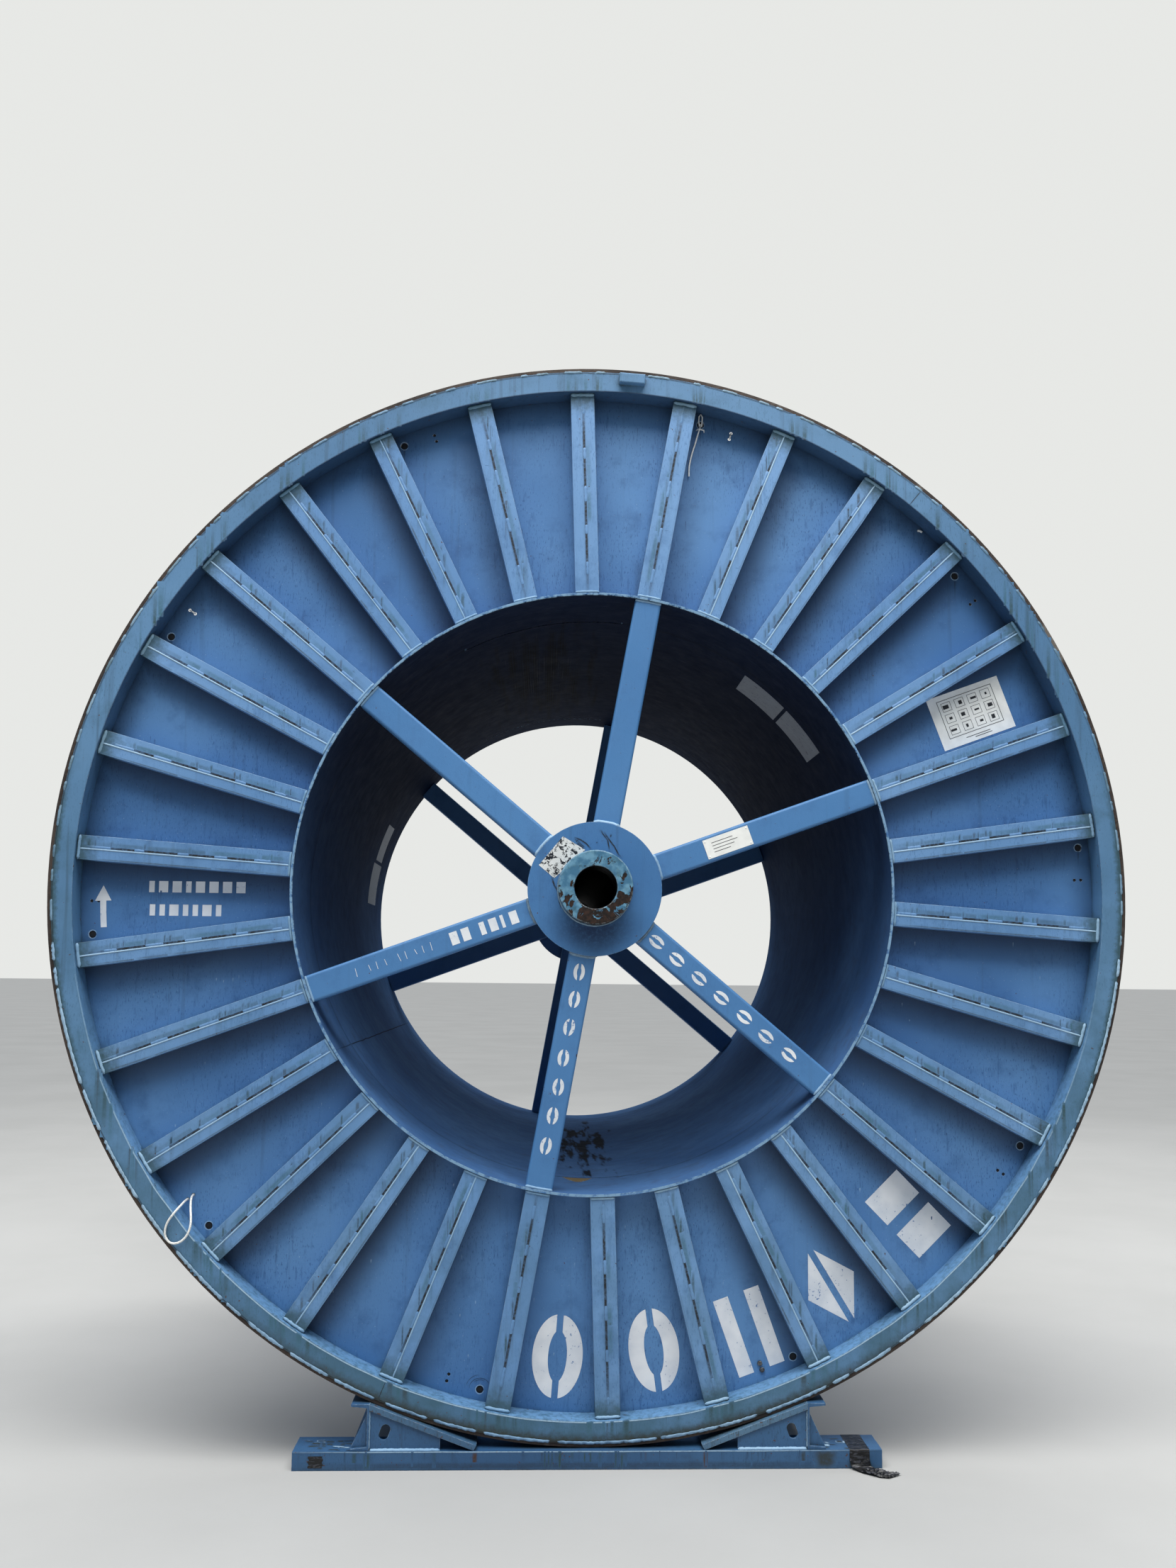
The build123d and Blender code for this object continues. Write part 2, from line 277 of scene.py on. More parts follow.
def coat_rubs(shader):
    """Dark and pale rubs that cable left on the sheets' inner faces."""
    inner_face = abs(shader.axes()[1]).below(-SHEET_Y - 0.003)
    worn_zone = shader.noise(1.7, 3.0, 0.6).between(0.36, 0.60)
    for fine, low, high, most, tint in (
        (70.0, 0.50, 0.66, 0.75, srgb(24, 50, 84)),
        (170.0, 0.56, 0.64, 0.60, srgb(134, 160, 186)),
        (120.0, 0.64, 0.68, 0.80, RUST),
    ):
        shader.coat(shader.rings(fine).between(low, high, most) * inner_face * worn_zone, tint)


def coat_rim_shading_and_algae(shader, ragged, wall):
    """The rim's inner wall with painted shade above and painted light below, and algae by its outer edge."""
    level = shader.axes()[2]
    inner = shader.radius().between(RIM_IN_R + 0.005, RIM_IN_R + 0.001, wall)
    # Painted shade: the inner wall's upper half darkened
    shader.coat(inner * level.between(AXIS_Z - 0.1, AXIS_Z + 0.9), srgb(14, 38, 70))
    reach = shader.radius() + ragged * 0.045
    foot = level.between(AXIS_Z - 1.35, AXIS_Z - 1.90, 0.9)
    shader.coat(reach.between(RIM_R - 0.022, RIM_R + 0.020) * foot, BROWN_GREEN)
    side = abs(level - (AXIS_Z - 0.2)).between(0.75, 0.35, 0.75)
    shader.coat(reach.between(RIM_R - 0.006, RIM_R + 0.020) * side, GREEN)
    # Painted light: the inner wall's lower half paler, broken by noise
    pale = inner * level.between(AXIS_Z - 0.1, AXIS_Z - 0.9) * ragged.between(0.3, 0.6)
    shader.coat(pale, srgb(112, 158, 204))


def painted_steel(
    name,
    *tones,
    fleck=0.5,
    grime_and_shade=0.6,
    wear=0.5,
    chip=0.72,
    specks=0.0,
    shade=0.0,
    ends=0.0,
    low=0.0,
    wall=0.0,
):
    """Weathered blue paint: uneven colour, rain marks, grime and painted shade in corners, and worn edges.

    The tones are the screen colours of its base, its pale parts and its deep parts.
    A mesh may carry a stain attribute, from 0 to 1, and a stain_tint colour."""
    shader = Shader(name)
    base, pale, deep = (srgb(*tone) for tone in tones)
    cloudy = shader.noise(7.0, 6.0, 0.65)
    shader.base(shader.noise(0.9, 3.0, 0.6).between(0.35, 0.68), base, pale)
    shader.coat(cloudy.between(0.48, 0.78, 0.55), deep)
    patch = shader.noise(2.2, 2.0).between(0.34, 0.60)
    for width, length, share in ((230.0, 62.0, 0.85), (70.0, 13.0, 0.45)):
        rain = shader.noise(1.0, 2.0, 0.5, shader.stretched((width, width, length)))
        shader.coat(rain.between(0.57, 0.69, fleck * share) * patch, deep)
    runs = shader.noise(1.0, 3.0, 0.6, shader.stretched((26.0, 26.0, 1.1), (3.0, 0.0, 0.0)))
    shader.coat(runs.between(0.58, 0.74, 0.35 * grime_and_shade), GRIME_AND_SHADE)
    if specks:
        shader.coat(shader.noise(150.0, 1.0, 0.4).between(0.70, 0.76, specks), WORN)
    turned, rounded = shader.edges()
    ragged = shader.noise(45.0, 5.0, 0.7)
    shader.coat(turned.between(0.01, 0.12, wear) * ragged.between(0.42, 0.6), WORN)
    # Darker where other faces stand close: grime together with painted shade
    crevice_grime_and_shade = shader.crevice(0.035).between(0.25, 0.75, grime_and_shade)
    shader.coat(crevice_grime_and_shade * cloudy.between(0.25, 0.6), GRIME_AND_SHADE)
    if shade:
        # Painted shade: the sheets darken to navy under each spoke and under the rim
        shader.coat(bay_shade(shader) * shade, srgb(6, 34, 62))
        coat_rubs(shader)
    if ends:
        reach = shader.radius() + ragged * 0.09
        shader.coat(reach.between(RIM_IN_R - 0.05, RIM_IN_R + 0.04, ends), GREEN)
    if low:
        downward = shader.axes()[2].between(AXIS_Z + 1.1, 0.4, low)
        shader.coat(downward * shader.noise(5.0, 5.0, 0.65).between(0.30, 0.62), srgb(48, 84, 96))
    if wall:
        coat_rim_shading_and_algae(shader, ragged, wall)
    shader.coat(shader.noise(60.0, 3.0, 0.55).between(chip, chip + 0.02, 0.85), RUST)
    broken = shader.noise(90.0, 4.0, 0.7).between(0.25, 0.6)
    strength, tint = shader.stain()
    shader.coat(strength * (broken * 0.45 + 0.55), tint)
    height = shader.noise(320.0, 2.0, 0.5) * 0.35 + cloudy * 0.9
    return shader.finish(cloudy * 0.3 + 0.38, height, 0.0008, rounded)


def barrel_material():
    """Dusty paint inside the barrel, blue on its outside, with painted shade near black towards the top of
    the inside and on the spindle pipe.
    """
    shader = Shader("barrel_paint", specular=0.025)
    broad = shader.noise(1.6, 4.0, 0.6).between(0.35, 0.65)
    cloudy = shader.noise(14.0, 6.0, 0.7)
    shader.base(broad, srgb(66, 106, 156), srgb(84, 124, 172))
    turns = shader.noise(1.0, 4.0, 0.62, shader.stretched((1.6, 42.0, 1.6)))
    shader.coat(turns.between(0.50, 0.68, 0.42), srgb(34, 62, 98))
    shader.coat(turns.between(0.45, 0.32, 0.36), srgb(126, 152, 180))
    outside = shader.colour
    shader.base(broad, srgb(54, 88, 134), srgb(68, 104, 150))
    shader.coat(cloudy.between(0.45, 0.75, 0.6), srgb(66, 84, 114))
    _, depth, level = shader.axes()
    radius = shader.radius()
    # Painted shade: the barrel's inside near black navy towards the top
    shader.coat(level.between(AXIS_Z - 0.7, AXIS_Z + 0.7, 0.92), srgb(3, 14, 38))
    # Painted shade: the spindle pipe near black
    shader.coat(radius.between(0.16, 0.13, 0.9), srgb(4, 6, 10))
    shader.coat(radius.between(BARREL_IN_R + 0.002, BARREL_IN_R + 0.004), outside)
    scratch = shader.noise(1.0, 2.0, 0.5, shader.stretched((9.0, 160.0, 9.0)))
    shader.coat(scratch.between(0.66, 0.72, 0.25), srgb(78, 92, 116))
    shader.coat(shader.noise(38.0, 4.0, 0.6).between(0.74, 0.76, 0.7), RUST)
    shader.coat(*shader.stain())
    turned, rounded = shader.edges()
    end_face = abs(depth).between(BARREL_END - 0.003, BARREL_END - 0.001)
    worn = shader.math("MAXIMUM", turned.between(0.01, 0.10), end_face)
    ragged = shader.noise(45.0, 5.0, 0.7).between(0.36, 0.56)
    shader.coat(worn * ragged * 0.8, srgb(134, 168, 194))
    return shader.finish(cloudy * 0.4 + 0.46, scratch * 0.3 + cloudy, 0.0008, rounded)


def band_material():
    """Bare rolled steel gone brown, rubbed grey on the tread."""
    shader = Shader("rusty_band", metallic=0.25)
    fine = shader.noise(60.0, 6.0, 0.7)
    shader.base(shader.noise(3.0, 5.0, 0.65).between(0.35, 0.65), srgb(44, 36, 33), srgb(70, 60, 54))
    shader.coat(fine.between(0.5, 0.75, 0.7), srgb(96, 78, 64))
    rub = shader.noise(1.0, 3.0, 0.6, shader.stretched((5.0, 130.0, 5.0)))
    shader.coat(rub.between(0.6, 0.7, 0.55), srgb(132, 126, 118))
    return shader.finish(fine * 0.35 + 0.5, fine + rub * 0.5, 0.002, shader.edges()[1])


def flaking_material():
    """Teal-blue paint flaking off dark rust, most on the lower right."""
    shader = Shader("flaking_paint", specular=0.3)
    across, _, height = shader.axes()
    leaning_way = (AXIS_Z - height) * 0.75 + across * 0.35
    bare = (shader.noise(19.0, 7.0, 0.60, distortion=1.4) + leaning_way).between(0.545, 0.565)
    metal = shader.mix(shader.noise(70.0, 6.0, 0.7).between(0.38, 0.66), srgb(20, 16, 15), srgb(54, 36, 28))
    shader.base(shader.noise(30.0, 4.0).between(0.4, 0.65), srgb(66, 112, 142), srgb(104, 150, 176))
    shader.coat(shader.noise(16.0, 5.0, 0.7).between(0.5, 0.72, 0.7), srgb(58, 82, 74))
    shader.coat(bare, metal)
    turned, rounded = shader.edges(0.004)
    chipped = shader.noise(48.0, 4.0, 0.7).between(0.44, 0.56)
    shader.coat(turned.between(0.02, 0.10, 0.8) * chipped, srgb(186, 204, 214))
    # Painted shade: the bore near black
    shader.coat(shader.radius().between(BORE_R + 0.002, BORE_R + 0.0005), srgb(8, 8, 10))
    relief = shader.noise(90.0, 5.0, 0.7) * 0.4 - bare
    return shader.finish(bare * 0.4 + 0.35, relief, 0.002, rounded)


def plain(name, grain, limits, colours, roughness, depth, metallic=0.0):
    """Two colours mottled by one noise, which gives the relief too."""
    shader = Shader(name, metallic)
    field = shader.noise(*grain)
    shader.base(field.between(*limits) if limits else field, *colours)
    return shader.finish(roughness, field, depth)


def stencil_paint():
    """White paint with specks gone."""
    shader = Shader("stencil_paint")
    broad = shader.noise(9.0, 3.0)
    fine = shader.noise(70.0, 5.0, 0.7)
    shader.base(broad.between(0.35, 0.65), srgb(232, 235, 238), srgb(212, 218, 225))
    shader.coat((fine + broad * 0.35).between(0.80, 0.86), srgb(70, 112, 164))
    return shader.finish(0.55, fine, 0.0004)


def printed(name, paper, under=None, torn=0.0):
    """Paper or film of a label, with torn spots where asked."""
    shader = Shader(name)
    cloudy = shader.noise(24.0, 4.0)
    shader.base(cloudy.between(0.3, 0.7), paper, (*(0.88 * value for value in paper[:3]), 1.0))
    if torn:
        rip = shader.noise(55.0, 5.0, 0.7, distortion=0.8)
        shader.coat(rip.between(1 - torn, 1.02 - torn), under)
    return shader.finish(0.45, cloudy, 0.0003)


def tape_material():
    """Black film, fairly glossy, with painted highlights on its folds."""
    shader = Shader("black_tape")
    crumple = shader.noise(1.0, 4.0, 0.6, shader.stretched((38.0, 60.0, 120.0)), 0.6)
    # Painted highlights: lighter grey on the folds
    shader.base(crumple.between(0.50, 0.64), srgb(9, 9, 12), srgb(58, 60, 68))
    return shader.finish(0.28, crumple, 0.0025)


blue_paint = painted_steel(
    "blue_paint", (92, 136, 184), (110, 152, 198), (56, 100, 148), wear=0.85, ends=0.8, low=0.28
)
sheet_tones = (64, 113, 166), (88, 136, 186), (34, 78, 128)
sheet_paint = painted_steel("sheet_paint", *sheet_tones, fleck=0.85, grime_and_shade=0.45, specks=0.25, shade=0.84)
rim_tones = (74, 116, 154), (92, 134, 172), (50, 90, 112)
rim_paint = painted_steel(
    "rim_paint", *rim_tones, fleck=0.6, grime_and_shade=1.0, wear=0.8, chip=0.69, low=0.6, wall=0.65
)
arm_paint = painted_steel(
    "arm_paint", (66, 118, 170), (74, 126, 178), (50, 96, 146), fleck=0.25, grime_and_shade=0.35, wear=0.6
)
cradle_paint = painted_steel(
    "cradle_paint", (42, 82, 122), (56, 98, 138), (26, 52, 80), grime_and_shade=0.9, wear=0.9, chip=0.69
)
ramp_paint = painted_steel(
    "ramp_paint", (58, 94, 126), (84, 118, 144), (46, 44, 42), fleck=0.9, grime_and_shade=1.0, wear=0.9, chip=0.65
)
# The hub disc's paint is darker than the arms' paint: painted shade
shaded_disc_paint = painted_steel(
    "shaded_disc_paint", (54, 106, 158), (64, 116, 168), (40, 86, 138), fleck=0.3, grime_and_shade=0.5, wear=0.8
)
bead_paint = painted_steel(
    "bead_paint", (116, 158, 196), (156, 190, 216), (62, 104, 144), fleck=0.2, grime_and_shade=0.9, wear=0.9, chip=0.74
)
barrel_paint = barrel_material()
rusty_band = band_material()
flaking_paint = flaking_material()
white_stencil = stencil_paint()
label_paper = printed("label_paper", srgb(243, 244, 240))
label_ink = printed("label_ink", srgb(34, 38, 44))
torn_paper = printed("torn_paper", srgb(226, 228, 226), srgb(16, 22, 34), torn=0.48)
# The stickers' paper is given grey as painted shade; the paper itself is whiter
shaded_sticker_paper = printed("shaded_sticker_paper", srgb(128, 138, 150), srgb(48, 60, 80), torn=0.38)
white_cord = plain(
    "white_cord", (260.0, 3.0, 0.6), (0.35, 0.7), (srgb(244, 244, 240), srgb(206, 208, 204)), 0.7, 0.0008
)
# Black for the discs in the flange holes: painted shade
hole_shade_black = plain("hole_shade_black", (180.0, 3.0), None, (srgb(8, 9, 12), srgb(20, 22, 26)), 0.7, 0.0003)
bolt_steel = plain(
    "bolt_steel", (60.0, 5.0, 0.6), (0.35, 0.65), (srgb(120, 122, 124), srgb(64, 60, 58)), 0.45, 0.0005, 0.7
)
black_tape = tape_material()


def dress(node, material):
    """Give a CAD node its material."""
    if not node.material_slots:
        node.data.materials.append(material)
    for slot in node.material_slots:
        slot.material = material


for paint, kinds in (
    (rim_paint, ("rim", "rim_block")),
    (rusty_band, ("running_band",)),
    (sheet_paint, ("flange_sheet",)),
    (blue_paint, ("upper_spoke_channels", "lower_spoke_channels")),
    (arm_paint, ("hub_arms",)),
    (shaded_disc_paint, ("hub_disc",)),
    (flaking_paint, ("hub_bush",)),
    (barrel_paint, ("barrel", "spindle_pipe")),
    (cradle_paint, ("base_beam", "ramp_webs", "gussets", "left_side_channel", "right_side_channel")),
    (ramp_paint, ("ramps",)),
    (white_cord, ("tie_cord_knot", "strap_tail_knot")),
):
    for node_name, node in nodes.items():
        if node_name.removeprefix("front_").removeprefix("rear_") in kinds:
            dress(node, paint)


def put(name, data):
    """A new object in the scene."""
    made = bpy.data.objects.new(name, data)
    bpy.context.scene.collection.objects.link(made)
    return made


def add_object(name, data):
    """A new piece, riding on the drum's one body."""
    piece = put(name, data)
    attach(piece, "root")
    return piece


def add_floor():
    """A wide pale floor."""
    shader = Shader("pale_floor")
    cloudy = shader.noise(0.6, 5.0, 0.6)
    shader.base(cloudy.between(0.3, 0.7), (0.41, 0.41, 0.40, 1), (0.44, 0.44, 0.43, 1))
    reach = 200.0
    mesh = bpy.data.meshes.new("floor")
    corners = [(-reach, -reach, 0), (reach, -reach, 0), (reach, reach, 0), (-reach, reach, 0)]
    mesh.from_pydata(corners, [], [(0, 1, 2, 3)])
    mesh.materials.append(shader.finish(0.85, shader.noise(40.0, 4.0), 0.0005))
    put("floor", mesh)


add_floor()

TIE_CORD_ROUTE = [
    (-1.4562, -1.2957, 0.9343), (-1.4562, -1.3200, 0.9343), (-1.4540, -1.3440, 0.9220),
    (-1.4480, -1.3700, 0.9000), (-1.4400, -1.3920, 0.8750), (-1.4350, -1.4080, 0.8500),
    (-1.4400, -1.4120, 0.8220), (-1.4540, -1.4120, 0.7980), (-1.4760, -1.4110, 0.7820),
    (-1.5030, -1.4110, 0.7800), (-1.5220, -1.4100, 0.7980), (-1.5270, -1.4100, 0.8250),
    (-1.5180, -1.4110, 0.8560), (-1.5000, -1.4150, 0.8810), (-1.4860, -1.4040, 0.9000),
    (-1.4800, -1.3740, 0.9100), (-1.4770, -1.3450, 0.9170), (-1.4760, -1.3200, 0.9190),
    (-1.4760, -1.2957, 0.9190),
]
TIE_CORD_DIAMETER = 0.008

STRAP_TAIL_ROUTE = [
    (0.3970, -1.2957, 3.8870), (0.3970, -1.3120, 3.8870), (0.3930, -1.3180, 3.8720),
    (0.3860, -1.3110, 3.8500), (0.3780, -1.3070, 3.8180), (0.3665, -1.3055, 3.7830),
    (0.3580, -1.3050, 3.7480), (0.3525, -1.3060, 3.7160), (0.3530, -1.3070, 3.6850),
]
STRAP_TAIL_DIAMETER = 0.006


def cord_curve(name, route, diameter):
    """A smooth round cord whose control points are the route."""
    curve = bpy.data.curves.new(name, "CURVE")
    curve.dimensions = "3D"
    curve.resolution_u = 12
    curve.bevel_depth = diameter / 2
    curve.bevel_resolution = 3
    curve.use_fill_caps = True
    spline = curve.splines.new("NURBS")
    spline.points.add(len(route) - 1)
    for point, corner in zip(spline.points, route):
        point.co = (*corner, 1.0)
    spline.order_u = 3
    spline.use_endpoint_u = True
    curve.materials.append(white_cord)
    return add_object(name, curve)


tie_cord = cord_curve("looped_tie_cord", TIE_CORD_ROUTE, TIE_CORD_DIAMETER)
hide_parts("tie_cord")
strap_tail = cord_curve("hanging_strap_tail", STRAP_TAIL_ROUTE, STRAP_TAIL_DIAMETER)
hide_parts("strap_tail")


class Pile:
    """Points and faces that become one piece. A rear one is mirrored to the rear flange."""

    def __init__(self, rear=False):
        self.rear = rear
        self.points, self.faces, self.stains, self.tints = [], [], [], []

    def add_points(self, points, stains, tint):
        self.points.extend(points)
        self.stains.extend(stains)
        self.tints.extend([tint] * len(points))

    def grid(self, rows, stains=None, tint=DARK):
        """Quads between rows that hold equally many points."""
        first, wide = len(self.points), len(rows[0])
        for index, row in enumerate(rows):
            self.add_points(row, stains[index] if stains else [0.0] * wide, tint)
        for row in range(len(rows) - 1):
            for column in range(wide - 1):
                corner = first + row * wide + column
                self.faces.append((corner, corner + 1, corner + wide + 1, corner + wide))

    def face(self, outline):
        first = len(self.points)
        self.add_points(outline, [0.0] * len(outline), DARK)
        self.faces.append(tuple(range(first, first + len(outline))))

    def piece(self, name, material, slot=None, smooth=True):
        """The finished piece, riding on the drum's one body."""
        points, faces = self.points, self.faces
        if self.rear:
            points = [Vector((point.x, -point.y, point.z)) for point in points]
            faces = [tuple(reversed(face)) for face in faces]
        mesh = bpy.data.meshes.new(name)
        mesh.from_pydata([tuple(point) for point in points], [], faces)
        mesh.update()
        mesh.polygons.foreach_set("use_smooth", [smooth] * len(mesh.polygons))
        mesh.materials.append(material)
        stain = mesh.attributes.new("stain", "FLOAT", "POINT")
        stain.data.foreach_set("value", self.stains)
        tint = mesh.attributes.new("stain_tint", "FLOAT_COLOR", "POINT")
        tint.data.foreach_set("color", [value for colour in self.tints for value in colour])
        return add_object(name, mesh)


def run(start, end, pitch=0.006):
    """Points on the straight way from start to end."""
    count = max(2, ceil((end - start).length / pitch))
    return [start.lerp(end, step / count) for step in range(count + 1)]


def arc(radius, start, end, y, pitch=0.008):
    """Points on a circle round the drum's axis."""
    count = max(2, ceil(radius * radians(abs(end - start)) / pitch))
    return [polar(radius, start + (end - start) * step / count, y) for step in range(count + 1)]


def away(point):
    """Unit vector from the drum's axis to a point."""
    return Vector((point.x, 0, point.z - AXIS_Z)).normalized()


def leaning(path, share=1.0):
    """Normals of an inside corner round the axis, between outward and the front."""
    return [(FRONT + share * away(point)).normalized() for point in path]


def frames(path, normals):
    """For each point of a path, the normal and the way across."""
    last = len(path) - 1
    for index, point in enumerate(path):
        along = (path[min(index + 1, last)] - path[max(index - 1, 0)]).normalized()
        normal = normals[index] if isinstance(normals, list) else normals
        yield index, point, normal, along.cross(normal).normalized()


BEAD_SIDES = (-1.0, -0.72, 0.0, 0.72, 1.0)
STREAK_SIDES = (-1, -0.4, 0.4, 1)


def bead(pile, path, width, height, dirt_and_painted_light=0.0, tint=DARK, normals=FRONT, rough=0.3):
    """A half-round weld bead, uneven and low at its ends."""
    rows = []
    stains = []
    for index, point, normal, across in frames(path, normals):
        end = index in (0, len(path) - 1)
        half = width / 2 * (0.5 if end else 1 + rough * noise.noise(point * 140))
        tall = height * (0.05 if end else 1 + 1.7 * rough * noise.noise(point * 210))
        rows.append([point + across * half * s + normal * tall * sqrt(1 - s * s) for s in BEAD_SIDES])
        stains.append([dirt_and_painted_light * (0.7 + 0.3 * noise.noise(point * 35))] * len(BEAD_SIDES))
    pile.grid(rows, stains, tint)


def streak(pile, path, width, strength, tint, end=None, fading=False, normals=FRONT, wander=0.0, lift=None):
    """A stain along the path, faded at its sides and, where asked, towards its end."""
    lift = lift or dice.uniform(0.00035, 0.0006)
    end = width if end is None else end
    rows = []
    stains = []
    last = len(path) - 1
    for index, point, normal, across in frames(path, normals):
        share = index / last
        half = (width + (end - width) * share) / 2
        drift = across * wander * noise.noise(point * 9)
        rows.append([point + drift + across * half * s + normal * lift for s in STREAK_SIDES])
        if fading:
            fade = min(1.0, 8 * share + 0.35) * (1 - share)
        else:
            fade = min(1.0, 5 * share + 0.15, 5 * (1 - share))
        stains.append([0.0, strength * fade, strength * fade, 0.0])
    pile.grid(rows, stains, tint)


def tube(pile, path, radius, sides=8):
    """A round bent bar or cord with closed ends."""
    first = len(pile.points)
    helper = Vector((0.31, 0.17, 0.93))
    last = len(path) - 1
    for index, point in enumerate(path):
        along = (path[min(index + 1, last)] - path[max(index - 1, 0)]).normalized()
        side = along.cross(helper).normalized()
        other = along.cross(side)
        turns = [2 * pi * k / sides for k in range(sides)]
        ring = [point + radius * (side * cos(turn) + other * sin(turn)) for turn in turns]
        pile.add_points(ring, [0.0] * sides, DARK)
    for row in range(last):
        for k in range(sides):
            a, b = first + row * sides + k, first + row * sides + (k + 1) % sides
            pile.faces.append((a, a + sides, b + sides, b))
    pile.faces.append(tuple(first + k for k in range(sides)))
    pile.faces.append(tuple(first + last * sides + k for k in reversed(range(sides))))


def dress_spokes(beads, stitches, marks):
    """The open seam over the lower channel's toe, which carries a painted highlight, stitch welds across it
    and the end beads.
    """
    inner, outer = BARREL_R + 0.004, RIM_IN_R - 0.008
    for angle in SPOKE_ANGLES:
        rise, flat = sin(radians(angle)), cos(radians(angle))
        upper = onward(angle) * (1 if flat > 0 else -1)
        flat = abs(flat)
        start, end = polar(inner, angle, SPOKE_Y), polar(outer, angle, SPOKE_Y)
        for _ in range(dice.randint(2, 4)):
            smear(marks, start.lerp(end, dice.uniform(0.0, 0.7)), start, end, upper * 0.014, 0.026, TEAL)
        if flat > 0.4:
            for _ in range(dice.randint(1, 2)):
                centre = start.lerp(end, dice.uniform(0.1, 0.8))
                smear(marks, centre, start, end, upper * -0.040, 0.009, BROWN_GREEN)
        for shift, width, strength, tint, wander, lift in (
            (0.002, 0.014, 1.0, DARK, 0.0, 0.0008),
            (0.013, 0.024, 0.42 * flat, GREEN, 0.002, 0.0003),
            (-0.041, 0.007, 0.6 * flat, BROWN_GREEN, 0.001, 0.0003),
        ):
            path = run(start + upper * shift, end + upper * shift, 0.03)
            streak(marks, path, width, strength, tint, wander=wander, lift=lift)
        if flat > 0.25:
            # Painted highlight: the toe bead gets a pale stain, strongest on level spokes in the upper part
            toe = run(start - upper * 0.0045, end - upper * 0.0045, 0.012)
            painted_toe_highlight = min(1.0, 1.4 * flat) * (0.6 if rise > -0.3 else 0.3)
            bead(beads, toe, 0.006, 0.0024, painted_toe_highlight, PALE, rough=0.12)
        station = inner + dice.uniform(0.01, 0.07)
        while station < outer - 0.05:
            length = min(dice.uniform(0.04, 0.085), outer - station)
            stitch = run(polar(station, angle, SPOKE_Y), polar(station + length, angle, SPOKE_Y))
            bead(stitches, [point + upper * 0.0028 for point in stitch], 0.0115, 0.0020)
            for place in (station, station + length):
                if dice.random() < 0.65:
                    weep(marks, angle, place, inner, outer, rise, flat)
                if dice.random() < 0.3:
                    weep(marks, angle, place - dice.uniform(0.014, 0.024), inner, outer, rise, flat)
            station += length + dice.uniform(0.07, 0.13)
        for radius, size in ((RIM_IN_R - 0.006, 0.014), (BARREL_R + 0.005, 0.011)):
            half = degrees(SPOKE_HALF / radius)
            ends = arc(radius, angle - half, angle + half, SPOKE_Y)
            dirt_and_painted_light = (0.75 if rise > 0.15 else 0.3) if radius > 1.5 else 0.25
            bead(beads, ends, size, size * 0.45, dirt_and_painted_light, TEAL)


def smear(marks, centre, start, end, shift, width, tint):
    """A soft patch of dirt along a spoke, beside its seam or edge."""
    length = min(dice.uniform(0.08, 0.3), (end - centre).length)
    first = centre + shift
    path = run(first, first + (end - start).normalized() * length, 0.02)
    streak(marks, path, width, dice.uniform(0.3, 0.65), tint, wander=0.002)


def weep(marks, angle, place, inner, outer, rise, flat):
    """Algae above a stitch's end and, at times, below it, straight up and down."""
    seam = polar(place, angle, SPOKE_Y)
    width = dice.uniform(0.012, 0.022)
    above = below = (SPOKE_HALF - 0.6 * width) / max(flat, 0.3)
    if abs(rise) > 0.05:
        above = min(above, (outer - place if rise > 0 else place - inner) / abs(rise))
        below = min(below, (place - inner if rise > 0 else outer - place) / abs(rise))
    strength = dice.uniform(0.35, 0.8)
    tint = dice.choice((GREEN, GREEN, TEAL, BROWN_GREEN))
    if above > 0.02:
        path = run(seam, seam + UP * above * 0.96, 0.012)
        streak(marks, path, width, strength, tint, end=width * 0.7)
        streak(marks, path, 0.009, dice.uniform(0.4, 0.8), DARK_GREEN, end=0.006)
    if below > 0.02 and dice.random() < 0.5:
        path = run(seam, seam + DOWN * below * 0.96, 0.012)
        streak(marks, path, width * 0.5, strength * 0.7, tint, end=width * 0.7, fading=True)


def wash_rim(marks):
    """Streaks that rain washed down the rim's face."""
    for angle in SPOKE_ANGLES:
        rise = sin(radians(angle))
        for _ in range(dice.randint(4, 8)):
            across = RIM_IN_R * cos(radians(angle)) + dice.uniform(-0.075, 0.075)
            if abs(across) > 1.80:
                continue
            low = sqrt(RIM_IN_R**2 - across**2)
            high = min(sqrt(RIM_R**2 - across**2) - 0.002, low + 0.2)
            sign = 1 if rise > 0 else -1
            start, end = (Vector((across, FACE_Y, AXIS_Z + sign * level)) for level in (low, high))
            width = dice.uniform(0.006, 0.024)
            strength = dice.uniform(0.5, 1.0)
            tint = dice.choice((TEAL, GREEN, GREEN) if rise > 0 else (GREEN, BROWN_GREEN, TEAL))
            streak(marks, run(start, end, 0.012), width, strength, tint, end=width * 1.5, fading=True)


